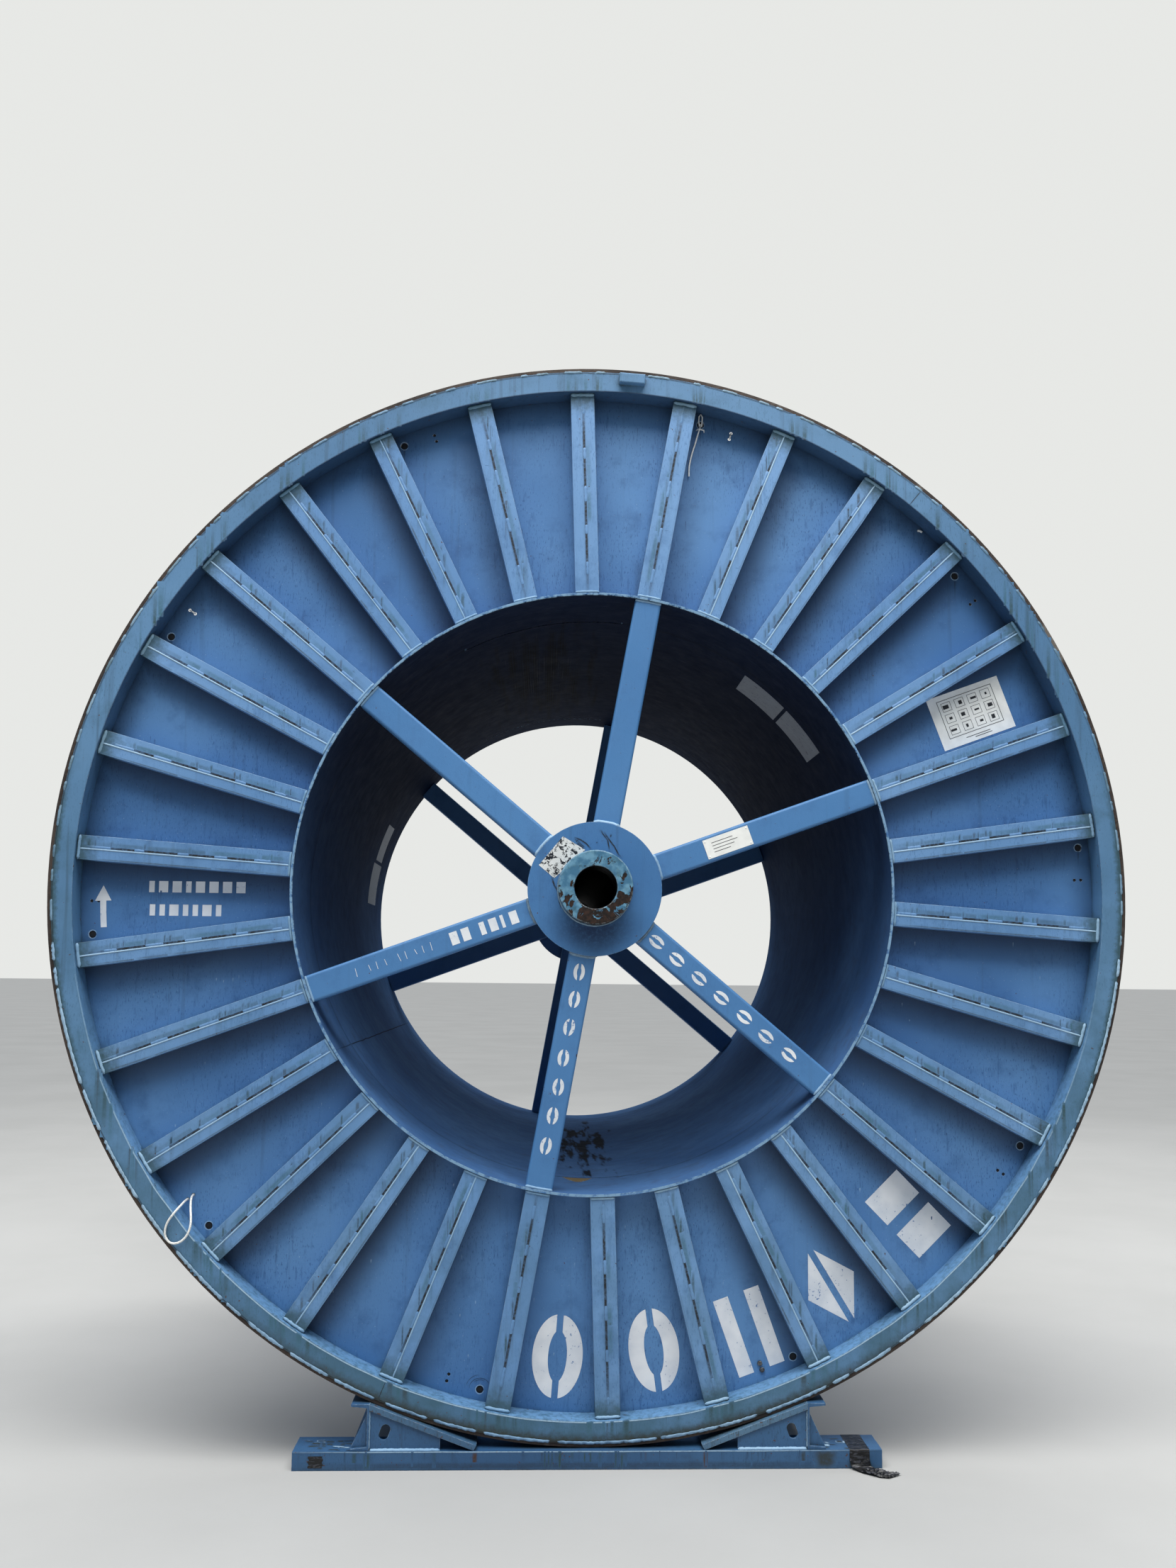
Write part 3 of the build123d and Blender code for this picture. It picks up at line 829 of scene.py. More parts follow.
def dress_rim(beads, marks):
    """The stitch welds between the rim and the band, and the rim's streaks, edges and joints, with a painted
    highlight along its lower inner edge.
    """
    wash_rim(marks)
    joint_y = (FACE_Y + BAND_Y) / 2
    angle = 0.0
    while angle < 360:
        low = sin(radians(angle)) < -0.1
        length = dice.choice((0.07, 0.16, 0.24, 0.36)) if low else dice.uniform(0.03, 0.09)
        span = degrees(length / RIM_R)
        path = arc(RIM_R - 0.001, angle, angle + span, joint_y)
        dirt_and_painted_light = dice.uniform(0.5, 0.9)
        if low:
            bead(beads, path, 0.016, 0.0045, 0.55 * dirt_and_painted_light, PALE, leaning(path, 0.8), rough=0.6)
        else:
            bead(beads, path, 0.011, 0.005, dirt_and_painted_light, GREEN, leaning(path, 0.8))
        gap = dice.uniform(0.006, 0.05) if low else dice.uniform(0.02, 0.09)
        angle += span + degrees(gap / RIM_R)
    streak(marks, arc(RIM_R - 0.003, 0, 360, FACE_Y, 0.03), 0.006, 0.75, DARK, wander=0.002)
    # Painted highlight: a pale line along the rim's inner edge on the lower half
    streak(marks, arc(RIM_IN_R + 0.004, 190, 350, FACE_Y, 0.03), 0.006, 0.8, PALE, wander=0.003)
    for joint in (51.3, 247.6):
        path = run(polar(RIM_IN_R, joint, FACE_Y), polar(RIM_R - 0.002, joint, FACE_Y), 0.01)
        streak(marks, path, 0.004, 1.0, DARK)


def dress_hub(beads):
    """Beads round the disc, the bush and the barrel, and at the arms' ends."""
    for angle in ARM_ANGLES:
        # Painted shade: the beads at the lower arms' ends are darkened, those at the upper arms are not
        dirt_and_painted_light = 0.0 if sin(radians(angle)) > 0 else 0.8
        half = degrees(ARM_HALF / DISC_R)
        path = arc(DISC_R + 0.003, angle - half, angle + half, ARM_Y)
        bead(beads, path, 0.016, 0.006, dirt_and_painted_light, DARK, leaning(path))
        half = degrees(ARM_HALF / BARREL_IN_R)
        path = arc(BARREL_IN_R - 0.004, angle - half, angle + half, ARM_Y)
        bead(beads, path, 0.011, 0.004, 0.2, DARK, leaning(path, -0.6))
    path = arc(BUSH_R + 0.001, 0, 360, DISC_Y)
    bead(beads, path, 0.009, 0.003, 0.7, DARK, leaning(path))
    path = arc(BARREL_R + 0.002, 0, 360, SHEET_Y)
    bead(beads, path, 0.013, 0.005, 0.15, DARK, leaning(path))


# Corners of the scratches on the disc, in millimetres from the axis
DISC_SCRATCHES = (
    ((-80, 190), (-55, 182), (-33, 168), (-13, 146)),
    ((-78, 187), (-58, 170), (-37, 152)),
    ((-70, 172), (-50, 155), (-41, 150)),
    ((19, 221), (48, 184), (56, 140)),
    ((32, 213), (72, 160), (88, 128), (100, 117)),
    ((60, 205), (58, 190)),
    ((-163, 47), (-150, 10), (-138, -6), (-130, -45), (-122, -81)),
    ((6, 176), (8, 170)),
    ((-118, 96), (-128, 70), (-140, 60)),
    ((-60, 188), (-70, 176), (-48, 160), (-58, 150)),
    ((-104, 92), (-118, 78)),
)


def scratch_and_shade_disc(marks):
    """Scratches, and a painted shadow of the bush on the disc below it."""
    rows = []
    stains = []
    # Painted shadow of the bush: deep navy below it, fading outwards
    for i in range(9):
        radius = BUSH_R + 0.004 + (DISC_R - 0.012 - BUSH_R) * i / 8
        rows.append([polar(radius, 335 - 130 * j / 24, DISC_Y - 0.0003) for j in range(25)])
        stains.append([(1 - (i / 8) ** 2) * sin(pi * j / 24) for j in range(25)])
    marks.grid(rows, stains, srgb(3, 44, 86))
    for line in DISC_SCRATCHES:
        corners = [Vector((x / 1000, DISC_Y, AXIS_Z + z / 1000)) for x, z in line]
        path = []
        for start, end in zip(corners, corners[1:]):
            path += run(start, end, 0.01)[:-1]
        streak(marks, path + corners[-1:], 0.009, 1.0, DARK, end=0.006, wander=0.004)


def barrel_patch(marks, angles, ends, strength, tint, scale, limits):
    """A ragged patch inside the barrel, told by noise and faded towards its borders."""
    rows = []
    stains = []
    across, along = 60, 90
    for i in range(along + 1):
        y = ends[0] + (ends[1] - ends[0]) * i / along
        row = []
        stain = []
        for j in reversed(range(across + 1)):
            angle = angles[0] + (angles[1] - angles[0]) * j / across
            row.append(polar(BARREL_IN_R, angle, y) - outward(angle) * 0.0005)
            edge = sin(pi * i / along) * sin(pi * j / across)
            grain = noise.fractal(Vector((angle * scale[0], y * scale[1], 3.0)), 0.6, 2.0, 5)
            share = (grain + edge - limits[0]) / (limits[1] - limits[0])
            stain.append(strength * min(1.0, max(0.0, share)) * min(1.0, 6 * edge))
        rows.append(row)
        stains.append(stain)
    marks.grid(rows, stains, tint)


# Weld lines inside the barrel: y, width and strength
BARREL_LINES = ((-0.985, 0.006, 0.7), (-0.995, 0.03, 0.2), (1.08, 0.006, 0.7), (1.17, 0.02, 0.3))
BARREL_SEAM = 212.6
BETWEEN_FLANGES = 1.29


def long_seam(radius, reach, pitch):
    """Points along the barrel's seam."""
    return run(polar(radius, BARREL_SEAM, -reach), polar(radius, BARREL_SEAM, reach), pitch)


def dress_barrel(marks):
    """Weld lines, the long seam, a dark patch and a pale rub at the top, and a dark spill below, inside the
    barrel.
    """
    for y, width, strength in BARREL_LINES:
        path = arc(BARREL_IN_R, 0, 360, y, 0.03)
        streak(marks, path, width, strength, DARK, normals=[-away(point) for point in path], wander=0.006)
    path = long_seam(BARREL_IN_R, BARREL_END, 0.03)
    streak(marks, path, 0.006, 0.9, DARK, normals=[-away(point) for point in path], wander=0.002)
    for path in (long_seam(BARREL_R, BETWEEN_FLANGES, 0.02), arc(BARREL_R, 0, 360, 0.04, 0.02)):
        bead(marks, path, 0.012, 0.0022, 0.15, DARK, [away(point) for point in path])
    barrel_patch(marks, (261, 279), (-1.1, 1.1), 0.95, srgb(8, 9, 12), (0.45, 2.6), (0.62, 0.95))
    edge_y = -0.995
    rows = [[], []]
    for k in range(11):
        angle = 264.7 + 0.6 * k
        for row, y in zip(rows, (edge_y - 0.10 * sin(pi * k / 10), edge_y)):
            row.append(polar(BARREL_IN_R, angle, y) - outward(angle) * 0.0006)
    marks.grid(rows, [[0.9] * 11] * 2, srgb(116, 100, 62))
    barrel_patch(marks, (84, 118), (-1.2, 1.25), 0.8, srgb(10, 12, 18), (0.5, 1.2), (0.45, 1.2))
    barrel_patch(marks, (92, 112), (-0.9, 0.9), 0.35, srgb(112, 110, 108), (2.4, 1.6), (0.9, 1.3))


# Drips down the beam's front: place, width, strength and tint
BEAM_DRIPS = (
    (-0.407, 0.022, 1.0, BROWN),
    (0.414, 0.022, 1.0, BROWN),
    (-0.787, 0.03, 0.8, GREEN),
    (-0.832, 0.02, 0.7, GREEN),
    (0.765, 0.02, 0.8, BROWN_GREEN),
    (0.845, 0.10, 0.85, BROWN_GREEN),
    (-0.55, 0.015, 0.5, GREEN),
    (0.20, 0.012, 0.4, BROWN),
)


def weld_webs(beads):
    """Welds along the ramp webs' feet and outer sides."""
    web_low, web_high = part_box("front_ramp_webs")
    plate_y = web_low.y
    web = nodes["front_ramp_webs"]
    corners = [web.matrix_world @ vertex.co for vertex in web.data.vertices]
    inner = min(abs(corner.x) for corner in corners if corner.z < BEAM_TOP + 0.004)
    for side in (-1, 1):
        foot = [Vector((side * x, plate_y, BEAM_TOP + SKIN)) for x in (inner, web_high.x - SKIN)]
        bead(beads, run(*foot), 0.015, 0.006, normals=(FRONT + UP).normalized())
        x = side * (web_high.x + SKIN)
        path = run(Vector((x, plate_y, BEAM_TOP + 0.004)), Vector((x, plate_y, 0.205)))
        bead(beads, path, 0.011, 0.004, 0.3, normals=(FRONT + Vector((side, 0, 0)) * 0.5).normalized())


def stain_beam(marks):
    """Drips down the front beam's face, a pale line along its top edge and a dark band along its foot, and
    mottled dirt on its top near the ends.
    """
    top = BEAM_TOP - SKIN
    drips = list(BEAM_DRIPS)
    for _ in range(14):
        drips.append((dice.uniform(-0.16, 0.14), dice.uniform(0.004, 0.016), dice.uniform(0.5, 0.9), GREEN))
    for _ in range(22):
        drips.append((dice.uniform(-1.0, 1.0), dice.uniform(0.003, 0.01), dice.uniform(0.3, 0.6), DARK))
    for x, width, strength, tint in drips:
        low = dice.uniform(0.004, 0.03) if strength < 0.6 else 0.002
        path = run(Vector((x, BEAM_Y, top)), Vector((x, BEAM_Y, low)), 0.008)
        streak(marks, path, width, strength, tint, end=width * 0.8, fading=strength <= 0.65)
    for _ in range(56):
        x = dice.choice((-1, 1)) * dice.uniform(0.78, BEAM_END - 0.035)
        start = Vector((x - 0.025, BEAM_Y + dice.uniform(0.012, 0.13), BEAM_TOP))
        end = start + Vector((dice.uniform(0.012, 0.05), dice.uniform(-0.006, 0.006), 0))
        width = dice.uniform(0.008, 0.026)
        tint = dice.choice((DARK, BROWN_GREEN, BROWN_GREEN, PALE))
        path = run(start, end, 0.008)
        streak(marks, path, width, dice.uniform(0.7, 1.0), tint, normals=UP, wander=0.004)
    reach = BEAM_END - 0.004
    for z, width, strength, tint, wander in (
        (top - SKIN, 0.005, 0.8, PALE, 0.001),
        (0.016, 0.024, 0.45, DARK, 0.003),
    ):
        path = run(Vector((-reach, BEAM_Y, z)), Vector((reach, BEAM_Y, z)), 0.02)
        streak(marks, path, width, strength, tint, wander=wander)


# A ring's points lie a little over 15 degrees apart, so that its ends overlap
RING_STEP = degrees(0.262)


def dress_sheet(marks):
    """Rings round the lashing holes, drips below them and small rain marks all over."""
    for angle in LASHING_ANGLES:
        hole = polar(LASHING_R, angle, SHEET_Y)
        ring = [hole + (LASHING_HOLE + 0.0015) * outward(RING_STEP * k) for k in range(25)]
        streak(marks, ring, 0.004, 0.6, PALE)
        low = hole + DOWN * (LASHING_HOLE + 0.001)
        if sin(radians(angle)) > 0:
            path = run(low, low + DOWN * dice.uniform(0.05, 0.12), 0.01)
            streak(marks, path, 0.01, 0.6, DARK, end=0.004, fading=True)
    hole = polar(LASHING_R, LASHING_ANGLES[7], SHEET_Y)
    for first, last, radius in ((20, 175, 0.040), (60, 130, 0.034), (95, 165, 0.052)):
        path = [hole + radius * outward(first + (last - first) * k / 16) for k in range(17)]
        streak(marks, path, 0.0025, 0.8, DARK)
    for _ in range(230):
        angle = dice.uniform(0, 360)
        start = polar(dice.uniform(1.16, 1.87), angle, SHEET_Y)
        above = sin(radians(angle)) > -0.1
        length = dice.uniform(0.012, 0.05) if above else dice.uniform(0.006, 0.02)
        width = dice.uniform(0.003, 0.007)
        tint = NAVY if above or dice.random() < 0.35 else PALE
        path = run(start, start + DOWN * length)
        streak(marks, path, width, dice.uniform(0.3, 0.8), tint, end=width * 0.7, fading=True)


def shade_holes(shade_discs):
    """Recessed black discs in the holes that hold no cord or bolt, and a black ring round the strap: painted
    shade standing for the dark seen through the holes.
    """
    holes = [(LASHING_R, angle, LASHING_HOLE, 0.0) for angle in LASHING_ANGLES]
    holes[2] = (LASHING_R, LASHING_ANGLES[2], LASHING_HOLE, 0.005)
    for index, angle in enumerate(TIE_ANGLES):
        if index not in (2, 4, 6, 8) or shade_discs.rear:
            holes += [(radius, angle, TIE_HOLE, 0.0) for radius in TIE_RADII]
    for radius, angle, size, opening in holes:
        centre = polar(radius, angle, SHEET_Y + 0.0035)
        rings = []
        for share, depth in ((1.0, 0.0), (0.8, 0.0008), (0.4, 0.0012)):
            reach = max(share * (size - 0.0002), opening)
            rings.append([centre + reach * outward(15 * k) + FRONT * depth for k in range(25)])
        shade_discs.grid([list(reversed(ring)) for ring in reversed(rings)])
        if not opening:
            shade_discs.face(rings[-1][:24])


# Pieces of each end: the material and the slot
END_PIECES = {
    "weld_beads": (bead_paint, "blue_paint"),
    "seam_stitches": (blue_paint, "blue_paint"),
    "spoke_stains": (blue_paint, "blue_paint"),
    "rim_stains": (rim_paint, "blue_paint"),
    "disc_scratches_and_shadow": (shaded_disc_paint, "blue_paint"),
    "sheet_stains": (sheet_paint, "sheet_paint"),
    "cradle_beads": (bead_paint, "cradle_paint"),
    "cradle_stains": (cradle_paint, "cradle_paint"),
    "hole_shade_discs": (hole_shade_black, None),
}


def add_end(end):
    """All beads and marks on one end of the drum and of the cradle."""
    piles = {name: Pile(end == "rear") for name in END_PIECES}
    beads = piles["weld_beads"]
    dress_spokes(beads, piles["seam_stitches"], piles["spoke_stains"])
    dress_rim(beads, piles["rim_stains"])
    dress_hub(beads)
    scratch_and_shade_disc(piles["disc_scratches_and_shadow"])
    dress_sheet(piles["sheet_stains"])
    weld_webs(piles["cradle_beads"])
    stain_beam(piles["cradle_stains"])
    shade_holes(piles["hole_shade_discs"])
    for name, pile in piles.items():
        pile.piece(f"{end}_{name}", *END_PIECES[name])


class Board:
    """A flat place at the front, measured along a slope and square to it."""

    def __init__(self, centre, slope, y):
        self.centre = Vector((centre[0], y, centre[1]))
        self.along = outward(slope)
        self.across = onward(slope)

    def at(self, along, across, lift):
        return self.centre + self.along * along + self.across * across + FRONT * lift

    def block(self, pile, centre, size, lift):
        """A flat rectangle."""
        x, z = centre
        half_x, half_z = size[0] / 2, size[1] / 2
        corners = ((-1, -1), (1, -1), (1, 1), (-1, 1))
        pile.face([self.at(x + i * half_x, z + j * half_z, lift) for i, j in corners])

    def frame(self, pile, centre, size, line, lift):
        """A rectangle's outline."""
        x, z = centre
        for sign in (-1, 1):
            self.block(pile, (x, z + sign * size[1] / 2), (size[0] + line, line), lift)
            self.block(pile, (x + sign * size[0] / 2, z), (line, size[1] - line), lift)

    def oval(self, pile, size, stroke, split, lift):
        """A ring in two halves, split along its length."""
        a, b = size[0] / 2, size[1] / 2
        first = degrees(atan2(split / 2, b))
        for side in (1, -1):
            rows = []
            for step in range(25):
                turn = radians(first + (180 - 2 * first) * step / 24)
                rim = self.at(a * cos(turn), side * b * sin(turn), lift)
                inner = max(split / 2, (b - stroke) * sin(turn))
                hole = self.at((a - stroke) * cos(turn), side * inner, lift)
                rows.append([rim, hole] if side > 0 else [hole, rim])
            pile.grid(rows)


def arm_board(radius, angle, slope):
    """A place on a hub arm's face."""
    centre = polar(radius, angle, 0)
    return Board((centre.x, centre.z), slope, ARM_Y)


MARK_LIFT = 0.0005
THIN_LIFT = 0.0004
OVALS = (
    (260.0, (0.313, 0.415, 0.519, 0.633, 0.740, 0.846, 0.957)),
    (320.0, (0.303, 0.402, 0.510, 0.619, 0.730, 0.837, 0.945)),
)
ARM_BARS = ((0.318, 0.030), (0.362, 0.012), (0.398, 0.030), (0.440, 0.020), (0.505, 0.030), (0.550, 0.030))
ARM_STROKES = (0.640, 0.672, 0.700, 0.738, 0.764, 0.816, 0.850, 0.878, 0.930)
DASH_ROWS = ((2.062, -1.66, -1.33), (1.975, -1.655, -1.40))
LARGE_MARKS = (
    (-0.1166, 0.3577, 266.1),
    (0.2373, 0.3796, 278.0),
    (0.5877, 0.4466, 289.9),
    (0.8946, 0.6104, 301.5),
    (1.1852, 0.8733, 314.8),
)


def large_marks(pile):
    """Five large plain shapes in a row along the sheet's lower right."""
    boards = [Board((x, z), angle, SHEET_Y) for x, z, angle in LARGE_MARKS]
    for board in boards[:2]:
        board.oval(pile, (0.30, 0.185), 0.058, 0.024, MARK_LIFT)
    for side in (-1, 1):
        boards[2].block(pile, (0, side * 0.06), (0.29, 0.058), MARK_LIFT)
        corners = [(-0.145 * side, 0.012 * side), (0.145 * side, 0.012 * side), (0, 0.1 * side)]
        pile.face([boards[3].at(x, z, MARK_LIFT) for x, z in corners])
        boards[4].block(pile, (side * 0.084, 0), (0.12, 0.17), MARK_LIFT)


def add_markings():
    """White stencilled marks: ovals on two arms, large plain shapes, short dashes and an arrow."""
    pile = Pile()
    for angle, radii in OVALS:
        for radius in radii:
            place = angle + dice.uniform(-0.2, 0.2)
            board = arm_board(radius, place, angle + dice.uniform(-4, 4))
            board.oval(pile, (0.064, 0.042), 0.013, 0.010, MARK_LIFT)
    large_marks(pile)
    for z, x, end in DASH_ROWS:
        while x < end:
            size = dice.choice((0.02, 0.034, 0.05))
            Board((x, z), 0, SHEET_Y).block(pile, (size / 2, 0), (size, 0.042), THIN_LIFT)
            x += size + 0.016
    for radius, width in ARM_BARS:
        arm_board(radius, 200.0, 200.0).block(pile, (0, 0), (width, 0.048), MARK_LIFT)
    for radius in ARM_STROKES:
        board = arm_board(radius, 200.0, 290.0 + dice.uniform(-14, 14))
        board.block(pile, (0, 0), (dice.uniform(0.020, 0.034), 0.0018), THIN_LIFT)
    lift = FRONT * THIN_LIFT
    arrow = arc(1.828, 185.0, 181.9, SHEET_Y, 0.01)
    pile.grid([[point + outward(183) * w + lift for w in (0.011, -0.011)] for point in arrow])
    base = polar(1.828, 181.9, SHEET_Y) + lift
    pile.face([base + outward(182) * 0.03, base - outward(182) * 0.03, polar(1.828, 180.1, SHEET_Y) + lift])
    pile.piece("stencilled_marks", white_stencil, smooth=False)


def print_label(paper, ink):
    """A printed sheet on the flange: boxes in a frame, and lines below, without words."""
    label = Board((1.4515, 2.7710), 20.4, SHEET_Y)
    ink_lift = 0.0008
    label.block(paper, (0, 0), (0.297, 0.210), 0.0005)
    label.frame(ink, (0, 0.008), (0.225, 0.150), 0.0022, ink_lift)
    for column in range(4):
        for row in range(3):
            x, z = -0.081 + 0.054 * column, 0.055 - 0.047 * row
            label.frame(ink, (x, z), (0.036, 0.034), 0.0016, ink_lift)
            place = (x + dice.uniform(-0.004, 0.004), z)
            label.block(ink, place, (dice.uniform(0.008, 0.024), dice.uniform(0.006, 0.02)), ink_lift)
    for row in range(2):
        label.block(ink, (0.02 * row, -0.083 - 0.008 * row), (0.10 - 0.03 * row, 0.0025), ink_lift)


def rivet_plate(plate, ink):
    """A bare plate on an arm, with four rivets and short printed lines."""
    place = Board((0.4978, 2.2492), 20.0, ARM_Y)
    thickness = 0.0012
    place.block(plate, (0, 0), (0.180, 0.074), thickness)
    for x in (-0.082, 0.082):
        for z in (-0.029, 0.029):
            centre = place.at(x, z, thickness)
            turns = (0, 1.05, 2.1, 3.14, 4.2, 5.24)
            ring = [centre + (place.along * cos(k) + place.across * sin(k)) * 0.0035 for k in turns]
            top = [point.lerp(centre, 0.5) + FRONT * 0.0018 for point in ring]
            plate.grid([[b, a] for a, b in zip(ring + ring[:1], top + top[:1])])
            plate.face(top)
    for row in range(4):
        width = dice.uniform(0.06, 0.12)
        place.block(ink, (-0.06 + width / 2, 0.018 - 0.012 * row), (width, 0.0022), 0.0014)


# Stickers in the barrel: angles and ends along the axis
STICKERS = (
    (44.8, 55.6, -0.92, -0.65),
    (32.7, 44.0, -0.92, -0.65),
    (155.5, 165.8, 0.82, 1.06),
    (166.7, 177.8, 0.78, 1.09),
)


def add_labels():
    """The label, the plate and the stickers, all without words."""
    paper, ink, plate, torn, stickers = (Pile() for _ in range(5))
    print_label(paper, ink)
    rivet_plate(plate, ink)
    paper.piece("flange_label", label_paper, smooth=False)
    ink.piece("label_print", label_ink, smooth=False)
    plate.piece("arm_plate", label_paper, smooth=False)
    corners = [(-0.1208, 2.2622), (-0.0374, 2.2127), (-0.151, 2.1053), (-0.2092, 2.1538)]
    torn.face([Vector((x, DISC_Y - 0.0006, z)) for x, z in reversed(corners)])
    torn.piece("torn_disc_label", torn_paper, smooth=False)
    for first, last, start, end in STICKERS:
        turns = [last + (first - last) * k / 12 for k in range(13)]
        stickers.grid([[polar(BARREL_IN_R - 0.0006, turn, y) for turn in turns] for y in (start, end)])
    stickers.piece("barrel_stickers", shaded_sticker_paper)


add_end("front")
add_end("rear")
barrel_marks = Pile()
dress_barrel(barrel_marks)
barrel_marks.piece("barrel_stains", barrel_paint, "barrel_paint")
add_markings()
add_labels()

# The strap's loops at its hole and a stub of cord by the rim, as offsets
STRAP_BIGHT = (
    (-0.004, -0.0160, -0.004),
    (-0.007, -0.0180, 0.016),
    (-0.006, -0.0180, 0.036),
    (0.001, -0.0185, 0.046),
    (0.007, -0.0180, 0.034),
    (0.006, -0.0180, 0.014),
    (0.004, -0.0160, -0.004),
)
STRAP_WRAP = (
    (-0.016, -0.0085, -0.016),
    (-0.012, -0.0270, -0.018),
    (0.0, -0.0300, -0.020),
    (0.012, -0.0270, -0.022),
    (0.015, -0.0085, -0.024),
)
CORD_STUB = ((-0.009, 0, 0.002), (-0.003, 0, 0.003), (0.003, 0, 0.001), (0.009, 0, -0.003))


def add_small_cords():
    """Stitches through two pairs of tie holes, and the strap's short loops at its hole."""
    pile = Pile()
    for angle in (TIE_ANGLES[2], TIE_ANGLES[4]):
        ends = [polar(radius, angle, SHEET_Y + 0.002) for radius in TIE_RADII]
        middle = ends[0].lerp(ends[1], 0.5) + FRONT * 0.007
        shoulders = [end.lerp(middle, 0.35) + FRONT * 0.004 for end in ends]
        tube(pile, [ends[0], shoulders[0], middle, shoulders[1], ends[1]], 0.0032)
    hole = Vector(STRAP_TAIL_ROUTE[0])
    stub = polar(1.897, 48.4, SHEET_Y - 0.0040)
    loops = ((hole, STRAP_BIGHT, 0.0026), (hole, STRAP_WRAP, 0.0026), (stub, CORD_STUB, 0.0042))
    for start, offsets, radius in loops:
        tube(pile, [start + Vector(offset) for offset in offsets], radius)
    pile.piece("small_cord_loops", white_cord, "white_cord")


def add_bolts():
    """Hexagon heads in one pair of tie holes."""
    pile = Pile()
    for radius in TIE_RADII:
        centre = polar(radius, TIE_ANGLES[8], SHEET_Y)
        rings = []
        for size, lift in ((0.0098, 0.0), (0.0098, 0.006), (0.0085, 0.0072)):
            rings.append([centre + size * outward(60 * k) + FRONT * lift for k in range(7)])
        pile.grid([list(reversed(row)) for row in reversed(rings)])
        pile.face(rings[-1][:6])
    pile.piece("tie_hole_bolts", bolt_steel, smooth=False)


# The tape's path round the beam, from its back to the loose end on the floor
TAPE_LEFT = 0.968
TAPE_HALF = 0.036
TAPE_GAP = 0.0008
TAPE_CORNERS = (
    (0.0, beam_high.y + TAPE_GAP, 0.004),
    (0.0, beam_high.y + TAPE_GAP, BEAM_TOP + TAPE_GAP),
    (0.0, BEAM_Y - TAPE_GAP, BEAM_TOP + TAPE_GAP),
    (0.0, BEAM_Y - 0.002, 0.030),
    (0.004, BEAM_Y - 0.010, 0.010),
    (0.030, BEAM_Y - 0.040, 0.006),
    (0.075, BEAM_Y - 0.078, 0.005),
    (0.108, BEAM_Y - 0.086, 0.004),
)
FOLDS_FROM = 0.232
LOOSE_FROM = 0.275


def ramp(value, start, length):
    """0 up to the start and 1 from the start plus the length."""
    return min(1.0, max(0.0, (value - start) / length))


def add_tape():
    """Black tape wound round the front beam, its loose end crumpled on the floor."""
    corners = [Vector((TAPE_LEFT + x, y, z)) for x, y, z in TAPE_CORNERS]
    path = [corners[0]]
    for start, end in zip(corners, corners[1:]):
        path += run(start, end, 0.004)[1:]
    travelled = 0.0
    rows = []
    for index, point in enumerate(path):
        if index:
            travelled += (point - path[index - 1]).length
        loose = ramp(travelled, LOOSE_FROM, 0.05)
        turn = Vector((1, 0, 0)).lerp(Vector((0.82, 0.57, 0)), loose).normalized()
        folded = ramp(travelled, FOLDS_FROM, 0.012) * (1 - loose)
        bulge = FRONT * 0.0035 * folded + (UP * 0.010 + FRONT * 0.003) * loose
        row = []
        for column in range(13):
            share = column / 6 - 1
            place = point + turn * TAPE_HALF * share * (1 - 0.12 * loose)
            ripple = noise.fractal(Vector((share * 2.4, travelled * 60, 1.7)), 0.7, 2.0, 4)
            row.append(place + bulge * max(0.0, 0.45 + ripple) - UP * 0.002 * loose)
        rows.append(list(reversed(row)))
    pile = Pile()
    pile.grid(rows)
    tape = pile.piece("black_tape", black_tape)


def add_scrap():
    """A scrap of tape stuck to the beam's face on the left."""
    scrap = Pile()
    rows = []
    for k in range(9):
        row = []
        for j in range(11):
            lift = 0.0012 + 0.002 * abs(noise.noise(Vector((j, k, 5.0))))
            x = -0.942 - 0.005 * j - 0.003 * sin(k * 1.9)
            row.append(Vector((x, BEAM_Y - lift, 0.050 - 0.005 * k)))
        rows.append(row)
    scrap.grid(rows)
    stuck = scrap.piece("tape_scrap", black_tape)


add_small_cords()
add_bolts()
add_tape()
add_scrap()

# Camera fitted to the photo
CAMERA_PLACE = (-0.1858, -6.4843, 1.7611)
CAMERA_YAW = 2.303
CAMERA_PITCH = 5.244
CAMERA_ROLL = 0.559
CAMERA_LENS = 31.55
CAMERA_SHIFT = (-0.0079, 0.0394)
SENSOR = 36.0


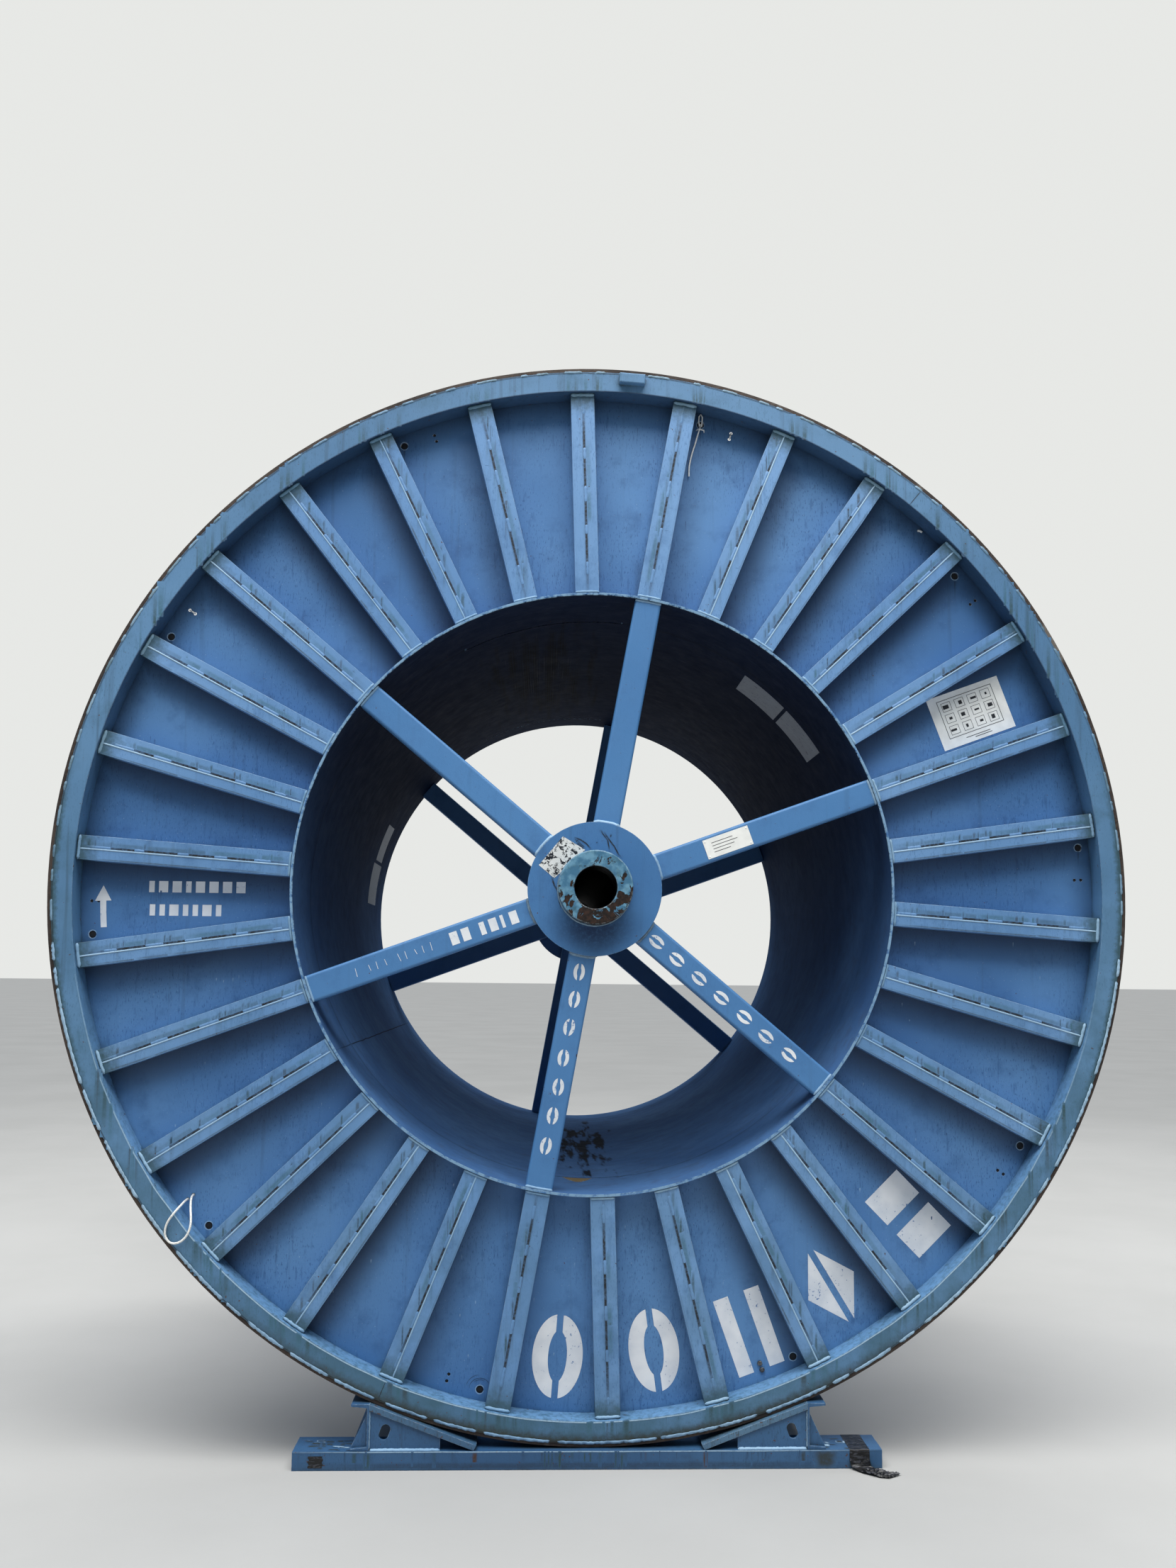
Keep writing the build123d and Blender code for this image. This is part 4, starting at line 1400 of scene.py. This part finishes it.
def add_camera():
    """The camera at the photo's viewing angle."""
    yaw, pitch, roll = radians(CAMERA_YAW), radians(CAMERA_PITCH), radians(CAMERA_ROLL)
    ahead = Vector((sin(yaw) * cos(pitch), cos(yaw) * cos(pitch), sin(pitch)))
    level = Vector((cos(yaw), -sin(yaw), 0))
    above = level.cross(ahead)
    right = cos(roll) * level + sin(roll) * above
    up = cos(roll) * above - sin(roll) * level
    data = bpy.data.cameras.new("camera")
    data.sensor_fit = "VERTICAL"
    data.sensor_height = SENSOR
    data.lens = CAMERA_LENS
    data.shift_x, data.shift_y = CAMERA_SHIFT
    data.clip_end = 200.0
    camera = put("camera", data)
    turned = Matrix((right, up, -ahead)).transposed().to_4x4()
    camera.matrix_world = Matrix.Translation(CAMERA_PLACE) @ turned
    bpy.context.scene.camera = camera


def add_lights():
    """Two soft boxes and a broad overhead light."""
    aim = Vector((0, 0, 2.2))
    for name, energy, spot in (("key", 740.0, (-0.6, -4.6, 9.6)), ("rear", 420.0, (1.5, 6.0, 8.6))):
        softbox = bpy.data.lights.new(name, "AREA")
        softbox.shape = "RECTANGLE"
        softbox.size = 10.0
        softbox.size_y = 4.5
        softbox.energy = energy
        softbox.color = (1.0, 0.99, 0.97)
        holder = put(name, softbox)
        holder.location = spot
        holder.rotation_euler = (aim - holder.location).to_track_quat("-Z", "Y").to_euler()
    sun = bpy.data.lights.new("overhead", "SUN")
    sun.energy = 2.8
    sun.angle = radians(70)
    put("overhead", sun).rotation_euler = (radians(12), 0, 0)


def add_world():
    """A bluish fill, seen by the camera as a plain pale backdrop."""
    world = bpy.data.worlds.new("studio")
    world.use_nodes = True
    tree = world.node_tree
    tree.nodes.clear()
    output = tree.nodes.new("ShaderNodeOutputWorld")
    path = tree.nodes.new("ShaderNodeLightPath")
    mix = tree.nodes.new("ShaderNodeMixShader")
    tree.links.new(path.outputs["Is Camera Ray"], mix.inputs[0])
    for socket, colour, strength in ((1, (0.76, 0.88, 1.0, 1), 0.2), (2, (0.80, 0.81, 0.79, 1), 1.0)):
        light = tree.nodes.new("ShaderNodeBackground")
        light.inputs["Color"].default_value = colour
        light.inputs["Strength"].default_value = strength
        tree.links.new(light.outputs[0], mix.inputs[socket])
    tree.links.new(mix.outputs[0], output.inputs["Surface"])
    bpy.context.scene.world = world
    bpy.context.scene.view_settings.view_transform = "Standard"


add_camera()
add_lights()
add_world()

bpy.context.view_layer.update()
